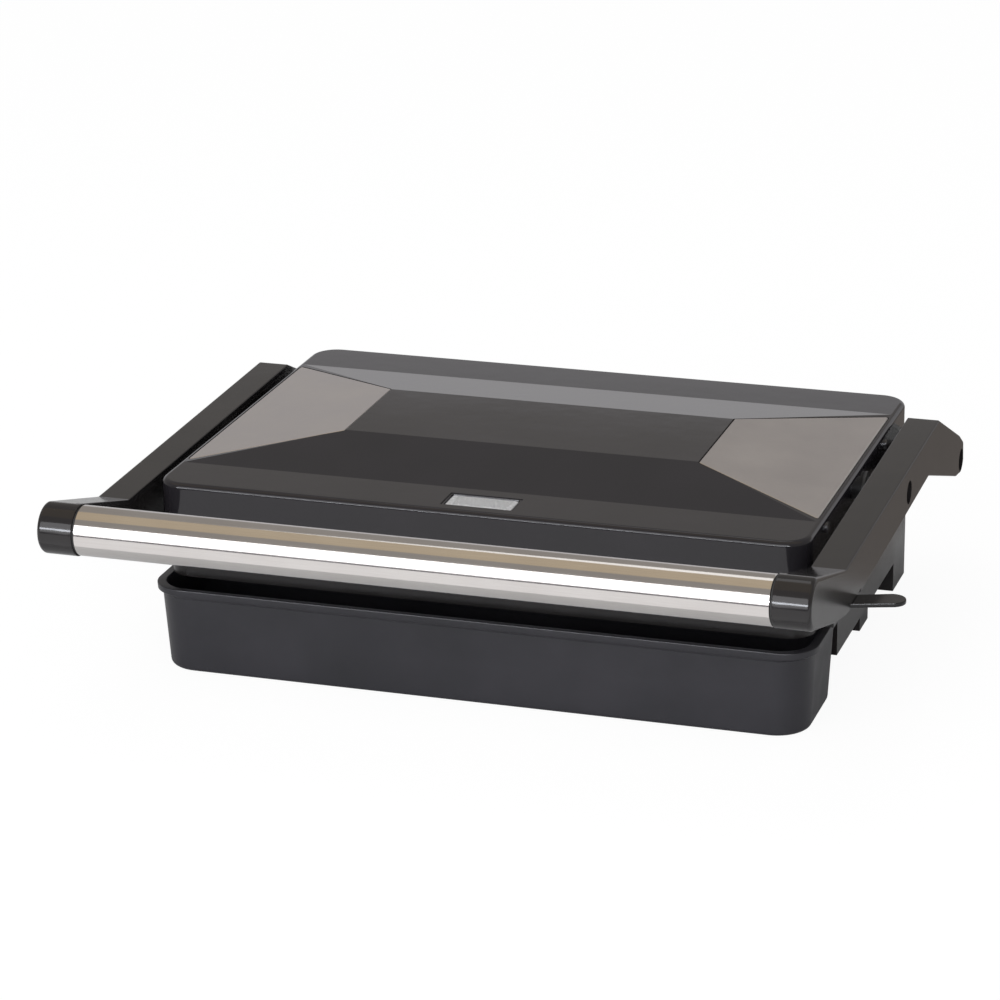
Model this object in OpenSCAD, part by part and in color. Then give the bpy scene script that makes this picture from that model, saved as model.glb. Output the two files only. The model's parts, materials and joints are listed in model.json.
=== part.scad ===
// Electric contact grill with a floating lid, a tubular steel handle and a front drip tray.
// Origin: middle of the tray's underside, on the bench. X to the right, Y to the back, Z up.

/* [Lid] */
// Width of the lid over its side walls
lid_w = 305; // [275:5:335]
// Depth of the lid, front to back
lid_d = 218; // [208:2:240]
// Height of the lid's side walls
lid_h = 31.2; // [28:0.2:40]
// Corner radius of the lid, seen from above
lid_corner_r = 13; // [10:1:24]
// Rounding of the lid's top edge
lid_edge_r = 2.6; // [1:0.2:2.8]
// Wall of the lid moulding
lid_wall = 2.5; // [2:0.25:3]
// Flat band in front of the roof
roof_front_band = 30; // [28:1:36]
// Flat band behind the roof
roof_rear_band = 31; // [28:1:38]
// Depth of the roof's front slope
roof_front_slope = 41.5; // [30:0.5:44]
// Depth of the roof's rear slope
roof_rear_slope = 51; // [36:0.5:54]
// Width of the roof's flat plateau
plateau_w = 170; // [120:5:190]
// Height of the plateau over the rim
roof_rise = 8.2; // [6:0.2:11]
// Thickness of the steel insets
inset_t = 0.8; // [0.6:0.1:1.1]
// Dark joint round each inset
inset_joint = 0.5; // [0.3:0.1:0.9]
// Width of the pilot lamp window
window_w = 34; // [26:1:40]
// Depth of the pilot lamp window, front to back
window_d = 16; // [12:1:18]

/* [Base] */
// How far each side of the base stands outside the lid
base_flank = 0; // [0:0.25:2]
// Height of the housing over the feet
base_h = 40.7; // [38:0.1:50]
// Clearance under the belly of the housing
foot_h = 15; // [12:0.5:20]
// Wall of the base moulding
base_wall = 2.5; // [2:0.25:3]
// Corner radius of the base, seen from above
base_corner_r = 12; // [8:1:16]
// Radius of the base's upright back edges
base_rear_r = 3.5; // [3.5:0.5:8]
// How far the base's front wall stands behind the lid's
base_setback = 9; // [5:1:12]
// How far the base reaches behind the lid
base_tail = 0; // [0:0.5:6]
// Height of the front shelf over the tray
shelf_h = 12.5; // [10:0.5:14]
// Parting gap between the base and the lid
parting_gap = 4.5; // [4:0.25:6]
// Thickness of the rubber foot pads that shows
pad_t = 0.8; // [0.5:0.1:1.5]

/* [Grill plates] */
// From the lid's side walls to the cooking plates
plate_side = 7; // [6:0.25:20]
// From the lid's front wall to the cooking plates
plate_front = 15; // [13:0.5:18]
// From the lid's back wall to the cooking plates
plate_back = 7; // [6:0.25:12]
// Thickness of the plates' floor
plate_floor = 3; // [2.5:0.25:4]
// Height of the searing ribs
rib_h = 3; // [2:0.25:3.5]
// Width of a rib at its root
rib_w = 4.4; // [3:0.2:6]
// Distance from rib to rib
rib_pitch = 11.6; // [9:0.2:16]

/* [Handle and arms] */
// Thickness of each side arm
arm_t = 15.5; // [13:0.5:18]
// Height of the arms along the lid
arm_h = 22; // [20:0.5:25]
// From the lid's rim down to the arms' top edge at its knee
arm_dip = 3.7; // [2:0.1:5]
// How far the arms' top edge rises from the knee to the rear
arm_rise = 3.2; // [0:0.2:3.6]
// Gap between the lid and each arm
arm_gap = 5.5; // [5.5:0.5:9]
// Wall of the arm mouldings
arm_wall = 2.5; // [2:0.25:3]
// Radius of the steel handle tube
tube_r = 11.25; // [9:0.25:12.5]
// Wall of the handle tube
tube_wall = 1.2; // [0.8:0.1:1.6]
// From the lid's front edge to the tube's axis
handle_reach = 71; // [66:0.5:90]
// Height of the tube's axis over the lid's rim
handle_rise = 1; // [0:0.5:8]
// From the lid's front edge back to its floating pivot
float_y = 117; // [104:0.5:126]
// How far the floating pivot lies below the rim
float_drop = 13.5; // [12.5:0.1:14.5]
// From the base's back wall to the hinge axis
hinge_reach = 27; // [24:0.5:34]
// How far the hinge axis lies below the base's top edge
hinge_drop = 4; // [3:0.2:7]
// Radius of the hinge screw's shank
hinge_pin_r = 3.5; // [3:0.1:3.8]
// Radius of the floating pivot's shank
float_pin_r = 4; // [3.4:0.1:4.2]
// Radius of the screw wells in the arms
well_r = 5.5; // [5.3:0.1:6]

/* [Drip tray] */
// Depth of the tray at its floor
tray_d = 62; // [54:1:68]
// How much narrower the tray's floor is than the base, at each side
tray_side = 0; // [0:0.25:3]
// Height of the tray
tray_h = 41.2; // [36:0.2:42]
// How far the tray's sides lean out
tray_flare = 2; // [1:0.25:5]
// Wall of the tray
tray_wall = 2.2; // [1.6:0.2:3]
// Radius of the tray's front corners
tray_corner_r = 16; // [10:1:22]
// How far the rim lip stands out at the sides
lip_out = 2; // [1.5:0.25:4]

/* [Lock lever] */
// How far the finger tab stands out of the arm
tab_out = 21.5; // [16:0.5:28]
// Width of the finger tab
tab_w = 12; // [10:0.5:14]
// Thickness of the lever plate
lever_t = 2; // [1.6:0.1:2.2]
// Angle at which the tab is swept back
tab_sweep = 16; // [5:1:20]
// Turn of the lever from open to locked
lock_angle = 12; // [8:1:13]

/* [Hidden] */
$fn = 64;
eps = 0.01;
running = 0.05;   // radial clearance of a turning fit
seat = 0.03;      // radial clearance of a fixed fit
fit = 0.3;        // gap between parts that drop into each other

// heights over the bench
base_bottom = foot_h;
base_top = foot_h + base_h;
lid_bottom = base_top + parting_gap;
rim_z = lid_bottom + lid_h;
shelf_z = base_top - shelf_h;

// widths that follow the lid's
base_w = lid_w + 2 * base_flank;
plate_w = lid_w - 2 * plate_side;
plate_d = lid_d - plate_front - plate_back;
tray_w = base_w - 2 * tray_side;

// tray, centred on the origin
tray_lean = 2.5;
tray_lip_t = 3;
tray_rear_lip = tray_d / 2 + tray_lean + 1;

// lid and base, front to back
lid_front = 1 - tray_d / 2;
lid_rear = lid_front + lid_d;
base_front = lid_front + base_setback;
base_rear = lid_rear + base_tail;
belly_front = tray_rear_lip + fit;

// roof
roof_y0 = lid_front + roof_front_band;
roof_y1 = roof_y0 + roof_front_slope;
roof_y3 = lid_rear - roof_rear_band;
roof_y2 = roof_y3 - roof_rear_slope;
roof_x = lid_w / 2 - lid_edge_r - 0.1;
plateau_z = rim_z + roof_rise;
roof_angle = atan2(roof_rise, roof_x - plateau_w / 2);
roof_len = norm([roof_rise, roof_x - plateau_w / 2]);
inset_margin = 4.2;

// cooking plates
plate_y = lid_front + plate_front;
plate_rim = 5;
plate_rim_h = 4.5;
plate_corner_r = 12;
lower_floor_z = base_top - 5.5;
plate_meet_z = base_top + parting_gap / 2 - 0.5;
plate_air = 0.5;
rib_count = floor((plate_w - 2 * plate_rim - 12) / rib_pitch);

// arms
arm_x0 = lid_w / 2 + arm_gap;
arm_x1 = arm_x0 + arm_t;
arm_cover_t = 2;
knuckle_r = 6.8;
cap_r = tube_r + 0.4;
tube_y = lid_front - handle_reach;
tube_z = rim_z + handle_rise;
float_pivot_y = lid_front + float_y;
float_pivot_z = rim_z - float_drop;
hinge_y = base_rear + hinge_reach;
hinge_z = base_top - hinge_drop;
arm_knee_z = rim_z - arm_dip;
arm_low_z = arm_knee_z - arm_h;
ring_t = 0.8;
tube_half = arm_x0 - 2;
head_t = 3;
head_r = well_r - 0.4;
well_floor = arm_x1 - 6;
post_x0 = arm_x0 + arm_cover_t + 0.1;
post_x1 = arm_x1 - arm_wall + 0.1;
screw_r = 1.27;
screw_bore_r = 1.3;
bush_wall = 1.5;
ear_r = 6.6;
ear_w = 16;

// lock lever
lever_x = arm_x0 + 7.8;
lever_y = lid_front + 12;
lever_z = arm_low_z - 0.1;
lever_pin_r = 1.8;
tab_y = lid_front + 3.5;
catch_y = lid_front + 29;
catch_w = 6;
catch_x = base_w / 2 + 4.4;
leg_t = 2.4;
toe_h = 2.5;
toe_reach = 2.6;
toe_z = shelf_z + 0.5;

// ---------------------------------------------------------------- shared shapes

// a rectangle with rounded corners, centred on X and starting at y = 0;
// its back corners may be tighter than the front ones
module round_rect(w, d, r, back_r) {
    translate([-w / 2 + r, 0]) square([w - 2 * r, d - back_r]);
    translate([-w / 2, r]) square([w, d - r - back_r]);
    translate([-w / 2 + back_r, r]) square([w - 2 * back_r, d - r]);
    for (x = [-1, 1]) {
        translate([x * (w / 2 - r), r]) circle(r);
        translate([x * (w / 2 - back_r), d - back_r]) circle(back_r);
    }
}

// a slab with rounded corners between two heights
module slab(w, y0, y1, r, z0, z1, back_r = undef) {
    translate([0, y0, z0]) linear_extrude(z1 - z0)
        round_rect(w, y1 - y0, r, is_undef(back_r) ? r : back_r);
}

// a bar along X between two x values
module x_bar(x0, x1, y, z, r) {
    translate([x0, y, z]) rotate([0, 90, 0]) cylinder(r = r, h = x1 - x0);
}

// a profile drawn in (y, z), extruded along X between two x values
module x_profile(x0, x1) {
    translate([x0, 0, 0]) rotate([90, 0, 90]) linear_extrude(x1 - x0) children();
}

// a shape and its mirror image on the left
module both_sides() {
    children();
    mirror([1, 0, 0]) children();
}

// ---------------------------------------------------------------- base

module shelf_and_belly(inset, top) {
    slab(base_w - 2 * inset, base_front + inset, base_rear - inset,
        base_corner_r - inset, shelf_z + inset, top, base_rear_r - inset);
    translate([0, 0, base_bottom - (inset > 0 ? 1 : 0)])
        linear_extrude(top - base_bottom + (inset > 0 ? 1 : 0))
            translate([-base_w / 2 + inset, belly_front + inset])
                square([base_w - 2 * inset, base_rear - belly_front - 2 * inset - base_corner_r]);
    slab(base_w - 2 * inset, belly_front + inset, base_rear - inset,
        base_corner_r - inset, base_bottom - (inset > 0 ? 1 : 0), top, base_rear_r - inset);
}

leg_x0 = base_w / 2 - 19.5;
leg_x1 = base_w / 2;
leg_y1 = base_rear;
leg_y0 = leg_y1 - 29.5;
ledge_w = 8;
drain_w = 24;
drain_d = 9;
drain_y = plate_y + plate_rim + 1;
gland_x = -base_w / 2 + 62;
gland_z = base_bottom + 10;
gland_r = 6;
back_half = leg_x0 - 2;
back_top = base_top - base_wall;
back_seam = 0.15;
cord_r = 3.6;

module hinge_ear() {
    x1 = arm_x0 - 0.6;
    x_profile(x1 - ear_w, x1) {
        polygon([
            [base_rear - base_wall, base_top - 3],
            [hinge_y, hinge_z + ear_r],
            [hinge_y, hinge_z - ear_r],
            [base_rear - base_wall, hinge_z - ear_r - 2]
        ]);
        translate([hinge_y, hinge_z]) circle(ear_r);
    }
}

module base_housing() color([0.07, 0.07, 0.075]) difference() {
    union() {
        difference() {
            shelf_and_belly(0, base_top);
            shelf_and_belly(base_wall, base_top - base_wall);
            slab(plate_w + 2 * fit, plate_y - fit, plate_y + plate_d + fit,
                plate_corner_r + fit, base_top - base_wall - 1, base_top + 1);
        }
        // moulded rear legs, flush with the walls
        both_sides() intersection() {
            translate([leg_x0, leg_y0, pad_t]) cube([leg_x1 - leg_x0, leg_y1 - leg_y0, foot_h + 6]);
            slab(base_w, belly_front, base_rear, base_corner_r, 0, base_top, base_rear_r);
        }
        both_sides() hinge_ear();
        // ledge that carries the plate
        both_sides() for (y = [plate_y + 30, plate_y + plate_d - 54])
            translate([plate_w / 2 - ledge_w, y, lower_floor_z - 6])
                cube([base_w / 2 - plate_w / 2 + ledge_w - 1, 24, 5.9]);
    }
    both_sides() x_bar(arm_x0 - ear_w - 2, arm_x0 + 1, hinge_y, hinge_z, hinge_pin_r + seat);
    // sockets of the rear pads
    both_sides() translate([(leg_x0 + leg_x1) / 2, (leg_y0 + leg_y1) / 2, -1])
        cylinder(r = rear_pad_r + seat, h = 1 + pad_t + pad_sunk);
    // drain slot over the tray
    translate([-drain_w / 2 - 1, drain_y - 1, shelf_z - 1]) cube([drain_w + 2, drain_d + 2, base_wall + 2]);
    // window of the lock
    translate([base_w / 2 - base_wall - 2, catch_y - catch_w / 2 - 4, toe_z - 0.8])
        cube([base_wall + 4, catch_w + 5, toe_h + 1.6]);
    // opening of the back panel, between the legs and under the top flange
    translate([-back_half, base_rear - base_wall - 1, base_bottom - 1])
        cube([2 * back_half, base_wall + 2, back_top - base_bottom + 1]);
}

// panel that closes the housing between its rear legs, with the hole of the cord bushing
module base_back() color([0.07, 0.07, 0.075]) difference() {
    translate([-back_half + back_seam, base_rear - base_wall, base_bottom])
        cube([2 * (back_half - back_seam), base_wall, back_top - back_seam - base_bottom]);
    translate([gland_x, base_rear - base_wall - 1, gland_z]) rotate([-90, 0, 0])
        cylinder(r = gland_r + seat, h = base_wall + 2);
}

front_foot_x = [plate_w / 2 - 33, plate_w / 2 - 15];
pillar_x = leg_x0 - 12;
mid_foot_x = [base_w / 2 - 17.5, base_w / 2 - 4];
front_foot_y = belly_front + 6;
front_foot_d = 16;
mid_foot_d = 18;
mid_foot_y = lid_front + 132;
pillar_y = [front_foot_y + 30, leg_y0 - 12];
pillar_bore_r = 1.6;
pad_sunk = 1.2;   // how far a pad's stem sits in its foot
rear_pad_r = 7;
front_pad_r = 6;
mid_pad_r = 5;
cover_t = 2;
vent_count = 9;
vent_pitch = 14;
vent_w = 4;
vent_y0 = front_foot_y + 40;
vent_y1 = leg_y0 - 8;
vent_d = (vent_y1 - vent_y0) * 0.37;

module cover_foot(xs, y0, depth) {
    both_sides() translate([xs[0], y0, pad_t]) cube([xs[1] - xs[0], depth, base_bottom - pad_t + 0.5]);
}

module base_cover() color([0.09, 0.09, 0.095]) difference() {
    union() {
        slab(base_w - 2 * base_wall - 2 * fit, belly_front + base_wall + fit,
            base_rear - base_wall - fit, base_corner_r - base_wall, base_bottom, base_bottom + cover_t,
            base_rear_r - base_wall);
        cover_foot(front_foot_x, front_foot_y, front_foot_d);
        cover_foot(mid_foot_x, mid_foot_y, mid_foot_d);
        // screw pillars
        both_sides() for (y = pillar_y)
            translate([pillar_x, y, base_bottom]) cylinder(r = 4.5, h = 9);
    }
    both_sides() translate([leg_x0 - fit, leg_y0 - fit, base_bottom - 1])
        cube([leg_x1 - leg_x0, leg_y1 - leg_y0 + base_corner_r, cover_t + 2]);
    both_sides() for (y = pillar_y) {
        translate([pillar_x, y, base_bottom - 1]) cylinder(r = pillar_bore_r + seat, h = 12);
        translate([pillar_x, y, base_bottom - 1]) cylinder(r = 3.4, h = 3);
    }
    // two rows of vent slots
    for (i = [0:vent_count - 1], y = [vent_y0, vent_y1 - vent_d])
        translate([(i - (vent_count - 1) / 2) * vent_pitch - vent_w / 2, y, base_bottom - 1])
            cube([vent_w, vent_d, cover_t + 2]);
    // pad sockets
    both_sides() translate([(front_foot_x[0] + front_foot_x[1]) / 2, front_foot_y + front_foot_d / 2, -1])
        cylinder(r = front_pad_r + seat, h = 1 + pad_t + pad_sunk);
    both_sides() translate([(mid_foot_x[0] + mid_foot_x[1]) / 2, mid_foot_y + mid_foot_d / 2, -1])
        cylinder(r = mid_pad_r + seat, h = 1 + pad_t + pad_sunk);
}

module foot_pads() color([0.05, 0.05, 0.05]) both_sides() {
    translate([(leg_x0 + leg_x1) / 2, (leg_y0 + leg_y1) / 2, 0])
        cylinder(r = rear_pad_r, h = pad_t + pad_sunk);
    translate([(front_foot_x[0] + front_foot_x[1]) / 2, front_foot_y + front_foot_d / 2, 0])
        cylinder(r = front_pad_r, h = pad_t + pad_sunk);
    translate([(mid_foot_x[0] + mid_foot_x[1]) / 2, mid_foot_y + mid_foot_d / 2, 0])
        cylinder(r = mid_pad_r, h = pad_t + pad_sunk);
}

module base_screws() color([0.6, 0.6, 0.62]) both_sides()
    for (y = pillar_y) {
        translate([pillar_x, y, base_bottom + 0.4]) cylinder(r = 3, h = 1.6);
        translate([pillar_x, y, base_bottom + 2]) cylinder(r = pillar_bore_r, h = 7.5);
    }

module cord_bushing() color([0.06, 0.06, 0.06]) difference() {
    translate([gland_x, 0, gland_z]) rotate([-90, 0, 0]) {
        translate([0, 0, base_rear - base_wall - 2.4]) cylinder(r = gland_r + 1.4, h = 2.3);
        translate([0, 0, base_rear - base_wall - 0.2]) cylinder(r = gland_r, h = base_wall + 0.4);
        translate([0, 0, base_rear + 0.1]) cylinder(r = gland_r + 2, h = 2.2);
        translate([0, 0, base_rear + 2]) cylinder(r1 = gland_r, r2 = gland_r - 1, h = 9);
    }
    translate([gland_x, base_rear - base_wall - 3, gland_z]) rotate([-90, 0, 0])
        cylinder(r = cord_r, h = 20);
}

// ---------------------------------------------------------------- cooking plates

// one plate, cooking side up, with its floor's underside at z = 0
module grill_plate(rim_h) {
    difference() {
        slab(plate_w, plate_y, plate_y + plate_d, plate_corner_r, 0, plate_floor + rim_h);
        slab(plate_w - 2 * plate_rim, plate_y + plate_rim, plate_y + plate_d - plate_rim,
            plate_corner_r - plate_rim, plate_floor, plate_floor + rim_h + 1);
    }
    rib_y0 = plate_y + plate_rim + 11;
    rib_y1 = plate_y + plate_d - plate_rim - 6;
    for (i = [0:rib_count - 1])
        translate([(i - (rib_count - 1) / 2) * rib_pitch, rib_y1, plate_floor - 0.5])
            rotate([90, 0, 0]) linear_extrude(rib_y1 - rib_y0)
                polygon([[-rib_w / 2, 0], [rib_w / 2, 0], [rib_w / 2, 0.5], [rib_w / 4, rib_h + 0.5],
                    [-rib_w / 4, rib_h + 0.5], [-rib_w / 2, 0.5]]);
}

heater_r = 3.2;
heater_turn = 38;
heater_x = 84;
heater_gap = 4.5;   // from the belly's front wall to the rod
heater_y = belly_front + base_wall + heater_gap + heater_r + heater_turn;
groove_r = heater_r + 0.15;

// a hairpin heating rod with cold pins, its axis at z = 0
module heater_rod() {
    for (s = [-1, 1]) {
        x_bar(-heater_x, heater_x, heater_y + s * heater_turn, 0, heater_r);
        x_bar(heater_x - eps, heater_x + 8, heater_y + s * heater_turn, 0, heater_r - 0.4);
        x_bar(heater_x + 8 - eps, heater_x + 20, heater_y + s * heater_turn, 0, 1.3);
    }
    translate([-heater_x, heater_y, 0]) rotate([0, 0, 90])
        rotate_extrude(angle = 180) translate([heater_turn, 0]) circle(heater_r, $fn = 32);
}

// channel cast under the plate, open towards the rod
module heater_groove(z0, z1) {
    for (s = [-1, 1])
        translate([-heater_x, heater_y + s * heater_turn - heater_r - 2.5, z0])
            cube([2 * heater_x, 2 * heater_r + 5, z1 - z0]);
}

lower_rim_h = plate_meet_z - lower_floor_z - plate_floor;
lower_rod_z = lower_floor_z - heater_r - 0.2;

module lower_plate() color([0.12, 0.12, 0.125]) difference() {
    union() {
        translate([0, 0, lower_floor_z]) grill_plate(lower_rim_h);
        difference() {
            heater_groove(lower_floor_z - 2.5, lower_floor_z + 0.5);
            for (s = [-1, 1])
                x_bar(-heater_x - 1, heater_x + 1, heater_y + s * heater_turn, lower_rod_z, groove_r);
        }
        // chute under the drain
        translate([-drain_w / 2 - 0.5, drain_y - 0.5, shelf_z + 0.4])
            cube([drain_w + 1, drain_d + 1, lower_floor_z - shelf_z + 0.5]);
    }
    translate([-drain_w / 2 + 1, drain_y + 1, shelf_z - 1]) cube([drain_w - 2, drain_d - 2, shelf_h]);
}

module lower_heater() color([0.45, 0.45, 0.46]) translate([0, 0, lower_rod_z]) heater_rod();

reflector_y0 = belly_front + base_wall + 5;
reflector_y1 = plate_y + plate_d - 6;

module reflector_pan(z, up) difference() {
    slab(plate_w - 30, reflector_y0, reflector_y1, 8, z, z + 5);
    slab(plate_w - 31.6, reflector_y0 + 0.8, reflector_y1 - 0.8, 7.2,
        z + (up ? 0.8 : -1), z + (up ? 6 : 4.2));
}

lower_pan_z = lower_rod_z - heater_r - 7;
module lower_reflector() color([0.75, 0.75, 0.76]) {
    reflector_pan(lower_pan_z, true);
    // standoffs up to the plate
    for (x = [-plate_w / 4, 0, plate_w / 4])
        translate([x, heater_y, lower_pan_z + 0.5]) cylinder(r = 4, h = lower_floor_z - lower_pan_z - 0.6);
}

module thermostat() color([0.85, 0.83, 0.78]) {
    translate([plate_w / 4 - 33, heater_y - 9, lower_floor_z - 8.1]) cube([22, 18, 8]);
    translate([plate_w / 4 - 26, heater_y, lower_floor_z - 10]) cylinder(r = 5, h = 3);
}

fuse_x = -39;
fuse_half = 9;
fuse_lead = 10;
fuse_r = 2.4;
fuse_y = heater_y - heater_turn / 3;

// a fuse in its sleeve, with a lead at each end
module fuse(z) {
    x_bar(fuse_x - fuse_half, fuse_x + fuse_half, fuse_y, z, fuse_r);
    x_bar(fuse_x - fuse_half - fuse_lead, fuse_x + fuse_half + fuse_lead, fuse_y, z, fuse_r / 4);
}

module thermal_fuse() color([0.8, 0.78, 0.6]) fuse(lower_floor_z - fuse_r - 0.2);

clamp_pitch = 14;
clamp_count = 3;
block_d = 18;
block_h = 13;
block_y = base_rear - base_wall - 8 - block_d;

module terminal_block() color([0.9, 0.9, 0.86])
    translate([gland_x + clamp_pitch, block_y, base_bottom + cover_t]) difference() {
        cube([clamp_count * clamp_pitch, block_d, block_h]);
        for (i = [0:clamp_count - 1])
            translate([(i + 0.5) * clamp_pitch, block_d / 2, 5]) cylinder(r = 2.6, h = block_h);
    }

// ---------------------------------------------------------------- arms and handle

// side view of an arm in (y, z)
module arm_outline() {
    polygon([
        [tube_y, tube_z + cap_r],
        [lid_front - 16, arm_knee_z],
        [lid_rear - 32, arm_knee_z + arm_rise],
        [hinge_y - 4.5, hinge_z + knuckle_r + 7.3],
        [hinge_y + 5.8, hinge_z + 7.8],
        [hinge_y + 7.2, hinge_z - 3],
        [hinge_y - 10, hinge_z - knuckle_r + 1.4],
        [lid_rear - 54, arm_low_z + arm_rise + 1.4],
        [lid_front + 6, arm_low_z],
        [lid_front - 12, arm_low_z],
        [lid_front - 33, arm_low_z + 4.2],
        [tube_y, tube_z - cap_r]
    ]);
    translate([tube_y, tube_z]) circle(cap_r);
    translate([hinge_y, hinge_z]) circle(knuckle_r);
}

// the hollow of an arm in (y, z), drawn in by the wall
module arm_hollow(gap) intersection() {
    offset(delta = -arm_wall - gap) arm_outline();
    translate([tube_y + cap_r + 4, 0]) square([hinge_y - tube_y - cap_r - 26, 200]);
}

module arm_shell() difference() {
    union() {
        difference() {
            union() {
                x_profile(arm_x0, arm_x1) arm_outline();
                // the cap that closes the tube
                x_bar(tube_half + ring_t, arm_x0 + 1, tube_y, tube_z, cap_r);
                // spigot inside the tube
                x_bar(tube_half - 22, tube_half + ring_t + eps, tube_y, tube_z, tube_r - tube_wall - seat);
            }
            x_profile(arm_x0 - 1, arm_x1 - arm_wall) arm_hollow(0);
        }
        // boss round the floating pivot
        x_bar(post_x0, post_x1, float_pivot_y, float_pivot_z, well_r + 2);
        // screw posts
        for (p = arm_post_places()) x_bar(post_x0, post_x1, p[0], p[1], 3.2);
    }
    x_bar(arm_x0 - 1, arm_x1 + 1, float_pivot_y, float_pivot_z, float_pin_r + seat);
    x_bar(well_floor, arm_x1 + 1, float_pivot_y, float_pivot_z, well_r);
    x_bar(arm_x0 - 1, well_floor + 1, hinge_y, hinge_z, hinge_pin_r + running + bush_wall + seat);
    x_bar(well_floor, arm_x1 + 1, hinge_y, hinge_z, well_r);
    for (p = arm_post_places()) x_bar(arm_x0 - 1, arm_x1 - arm_wall - 1, p[0], p[1], screw_bore_r);
}

function arm_post_places() = [
    [lid_front - 40, arm_knee_z - 4.5],
    [lid_front + 60, arm_knee_z - 9.5],
    [lid_rear - 32, arm_knee_z - 11]
];

// the notch that the lock lever swings in
module lever_notch() {
    y0 = tab_y - tab_w / 2 - 5;
    swing = (arm_x1 + tab_out - lever_x) * sin(lock_angle);
    translate([arm_x0 - 3, y0 - 1, lever_z - 2])
        cube([arm_t - arm_wall + 3, catch_y + catch_w / 2 + 2 - y0, lever_t + 2.5]);
    translate([arm_x0 + 5, y0, lever_z - 2]) cube([arm_t, tab_w + 5 + swing, lever_t + 2.5]);
}

module arm_left() color([0.1, 0.1, 0.105]) mirror([1, 0, 0]) arm_shell();

module arm_right() color([0.1, 0.1, 0.105]) difference() {
    union() {
        difference() {
            arm_shell();
            lever_notch();
        }
        // post of the lever's pin
        translate([lever_x, lever_y, lever_z + lever_t + 0.3])
            cylinder(r = 4.5, h = arm_h - arm_wall - lever_t + 0.3);
    }
    translate([lever_x, lever_y, lever_z - 1]) cylinder(r = lever_pin_r + seat, h = 13);
}

module arm_cover() difference() {
    x_profile(arm_x0, arm_x0 + arm_cover_t) arm_hollow(fit / 2);
    x_bar(arm_x0 - 1, arm_x0 + 4, float_pivot_y, float_pivot_z, float_pin_r + 0.2);
    for (p = arm_post_places()) x_bar(arm_x0 - 1, arm_x0 + 4, p[0], p[1], 1.5);
}

module arm_cover_left() color([0.08, 0.08, 0.085]) mirror([1, 0, 0]) arm_cover();
module arm_cover_right() color([0.08, 0.08, 0.085]) arm_cover();

module arm_screws() color([0.6, 0.6, 0.62]) both_sides() for (p = arm_post_places()) {
    x_bar(arm_x0 - 1.6, arm_x0, p[0], p[1], 2.6);
    x_bar(arm_x0 - eps, arm_x0 + 9, p[0], p[1], screw_r);
}

module hinge_bush() difference() {
    x_bar(arm_x0 - 0.3, well_floor - 0.1, hinge_y, hinge_z, hinge_pin_r + running + bush_wall);
    x_bar(arm_x0 - 1, well_floor + 1, hinge_y, hinge_z, hinge_pin_r + running);
}
module hinge_bush_left() color([0.85, 0.85, 0.8]) mirror([1, 0, 0]) hinge_bush();
module hinge_bush_right() color([0.85, 0.85, 0.8]) hinge_bush();

module shoulder_screw(x_tip, y, z, r) difference() {
    union() {
        x_bar(x_tip, well_floor + 0.3, y, z, r);
        x_bar(well_floor + 0.2, well_floor + 0.2 + head_t, y, z, head_r);
    }
    translate([well_floor + 1.6, y, z]) rotate([0, 90, 0]) cylinder(r = 2.2, h = 3, $fn = 6);
}
module hinge_screw_left() color([0.6, 0.6, 0.62]) mirror([1, 0, 0]) hinge_screw_right();
module hinge_screw_right() color([0.6, 0.6, 0.62])
    shoulder_screw(arm_x0 - ear_w, hinge_y, hinge_z, hinge_pin_r);

module float_bolt_left() color([0.6, 0.6, 0.62]) mirror([1, 0, 0]) float_bolt_right();
module float_bolt_right() color([0.6, 0.6, 0.62])
    shoulder_screw(lid_w / 2 - lid_wall - 4, float_pivot_y, float_pivot_z, float_pin_r);

module handle_tube() color([0.8, 0.78, 0.75]) difference() {
    x_bar(-tube_half, tube_half, tube_y, tube_z, tube_r);
    x_bar(-tube_half - 1, tube_half + 1, tube_y, tube_z, tube_r - tube_wall);
}

module handle_ring() difference() {
    x_bar(tube_half, tube_half + ring_t, tube_y, tube_z, tube_r - 0.4);
    x_bar(tube_half - 1, tube_half + ring_t + 1, tube_y, tube_z, tube_r - tube_wall);
}
module handle_ring_left() color([0.05, 0.05, 0.05]) mirror([1, 0, 0]) handle_ring();
module handle_ring_right() color([0.05, 0.05, 0.05]) handle_ring();

module lock_pin() color([0.6, 0.6, 0.62]) {
    translate([lever_x, lever_y, lever_z - 1.8]) cylinder(r = 3.6, h = 1.5);
    translate([lever_x, lever_y, lever_z - 0.5]) cylinder(r = lever_pin_r, h = 12);
}

// ---------------------------------------------------------------- lock lever

module lever_plan() {
    // finger tab, swept back
    hull() {
        translate([arm_x1 - 6, tab_y - 3]) circle(tab_w / 2 - 0.5, $fn = 40);
        translate([arm_x1 + tab_out - tab_w / 2, tab_y + (tab_out - tab_w / 2) * tan(tab_sweep)])
            circle(tab_w / 2, $fn = 40);
    }
    // neck to the pivot
    hull() {
        translate([arm_x1 - 6, tab_y - 3]) circle(tab_w / 2 - 0.5, $fn = 40);
        translate([lever_x, lever_y]) circle(5, $fn = 40);
    }
    // arm to the catch
    hull() {
        translate([lever_x, lever_y]) circle(5, $fn = 40);
        translate([catch_x + leg_t / 2, catch_y]) square([leg_t, catch_w], center = true);
    }
}

module lock_lever() color([0.08, 0.08, 0.085]) difference() {
    union() {
        translate([0, 0, lever_z]) linear_extrude(lever_t) lever_plan();
        translate([catch_x, catch_y - catch_w / 2, toe_z]) cube([leg_t, catch_w, lever_z - toe_z + 0.5]);
        translate([catch_x - toe_reach, catch_y - catch_w / 2, toe_z]) cube([toe_reach + 1, catch_w, toe_h]);
    }
    translate([lever_x, lever_y, lever_z - 1]) cylinder(r = lever_pin_r + running, h = lever_t + 2);
}

// ---------------------------------------------------------------- lid

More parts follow.
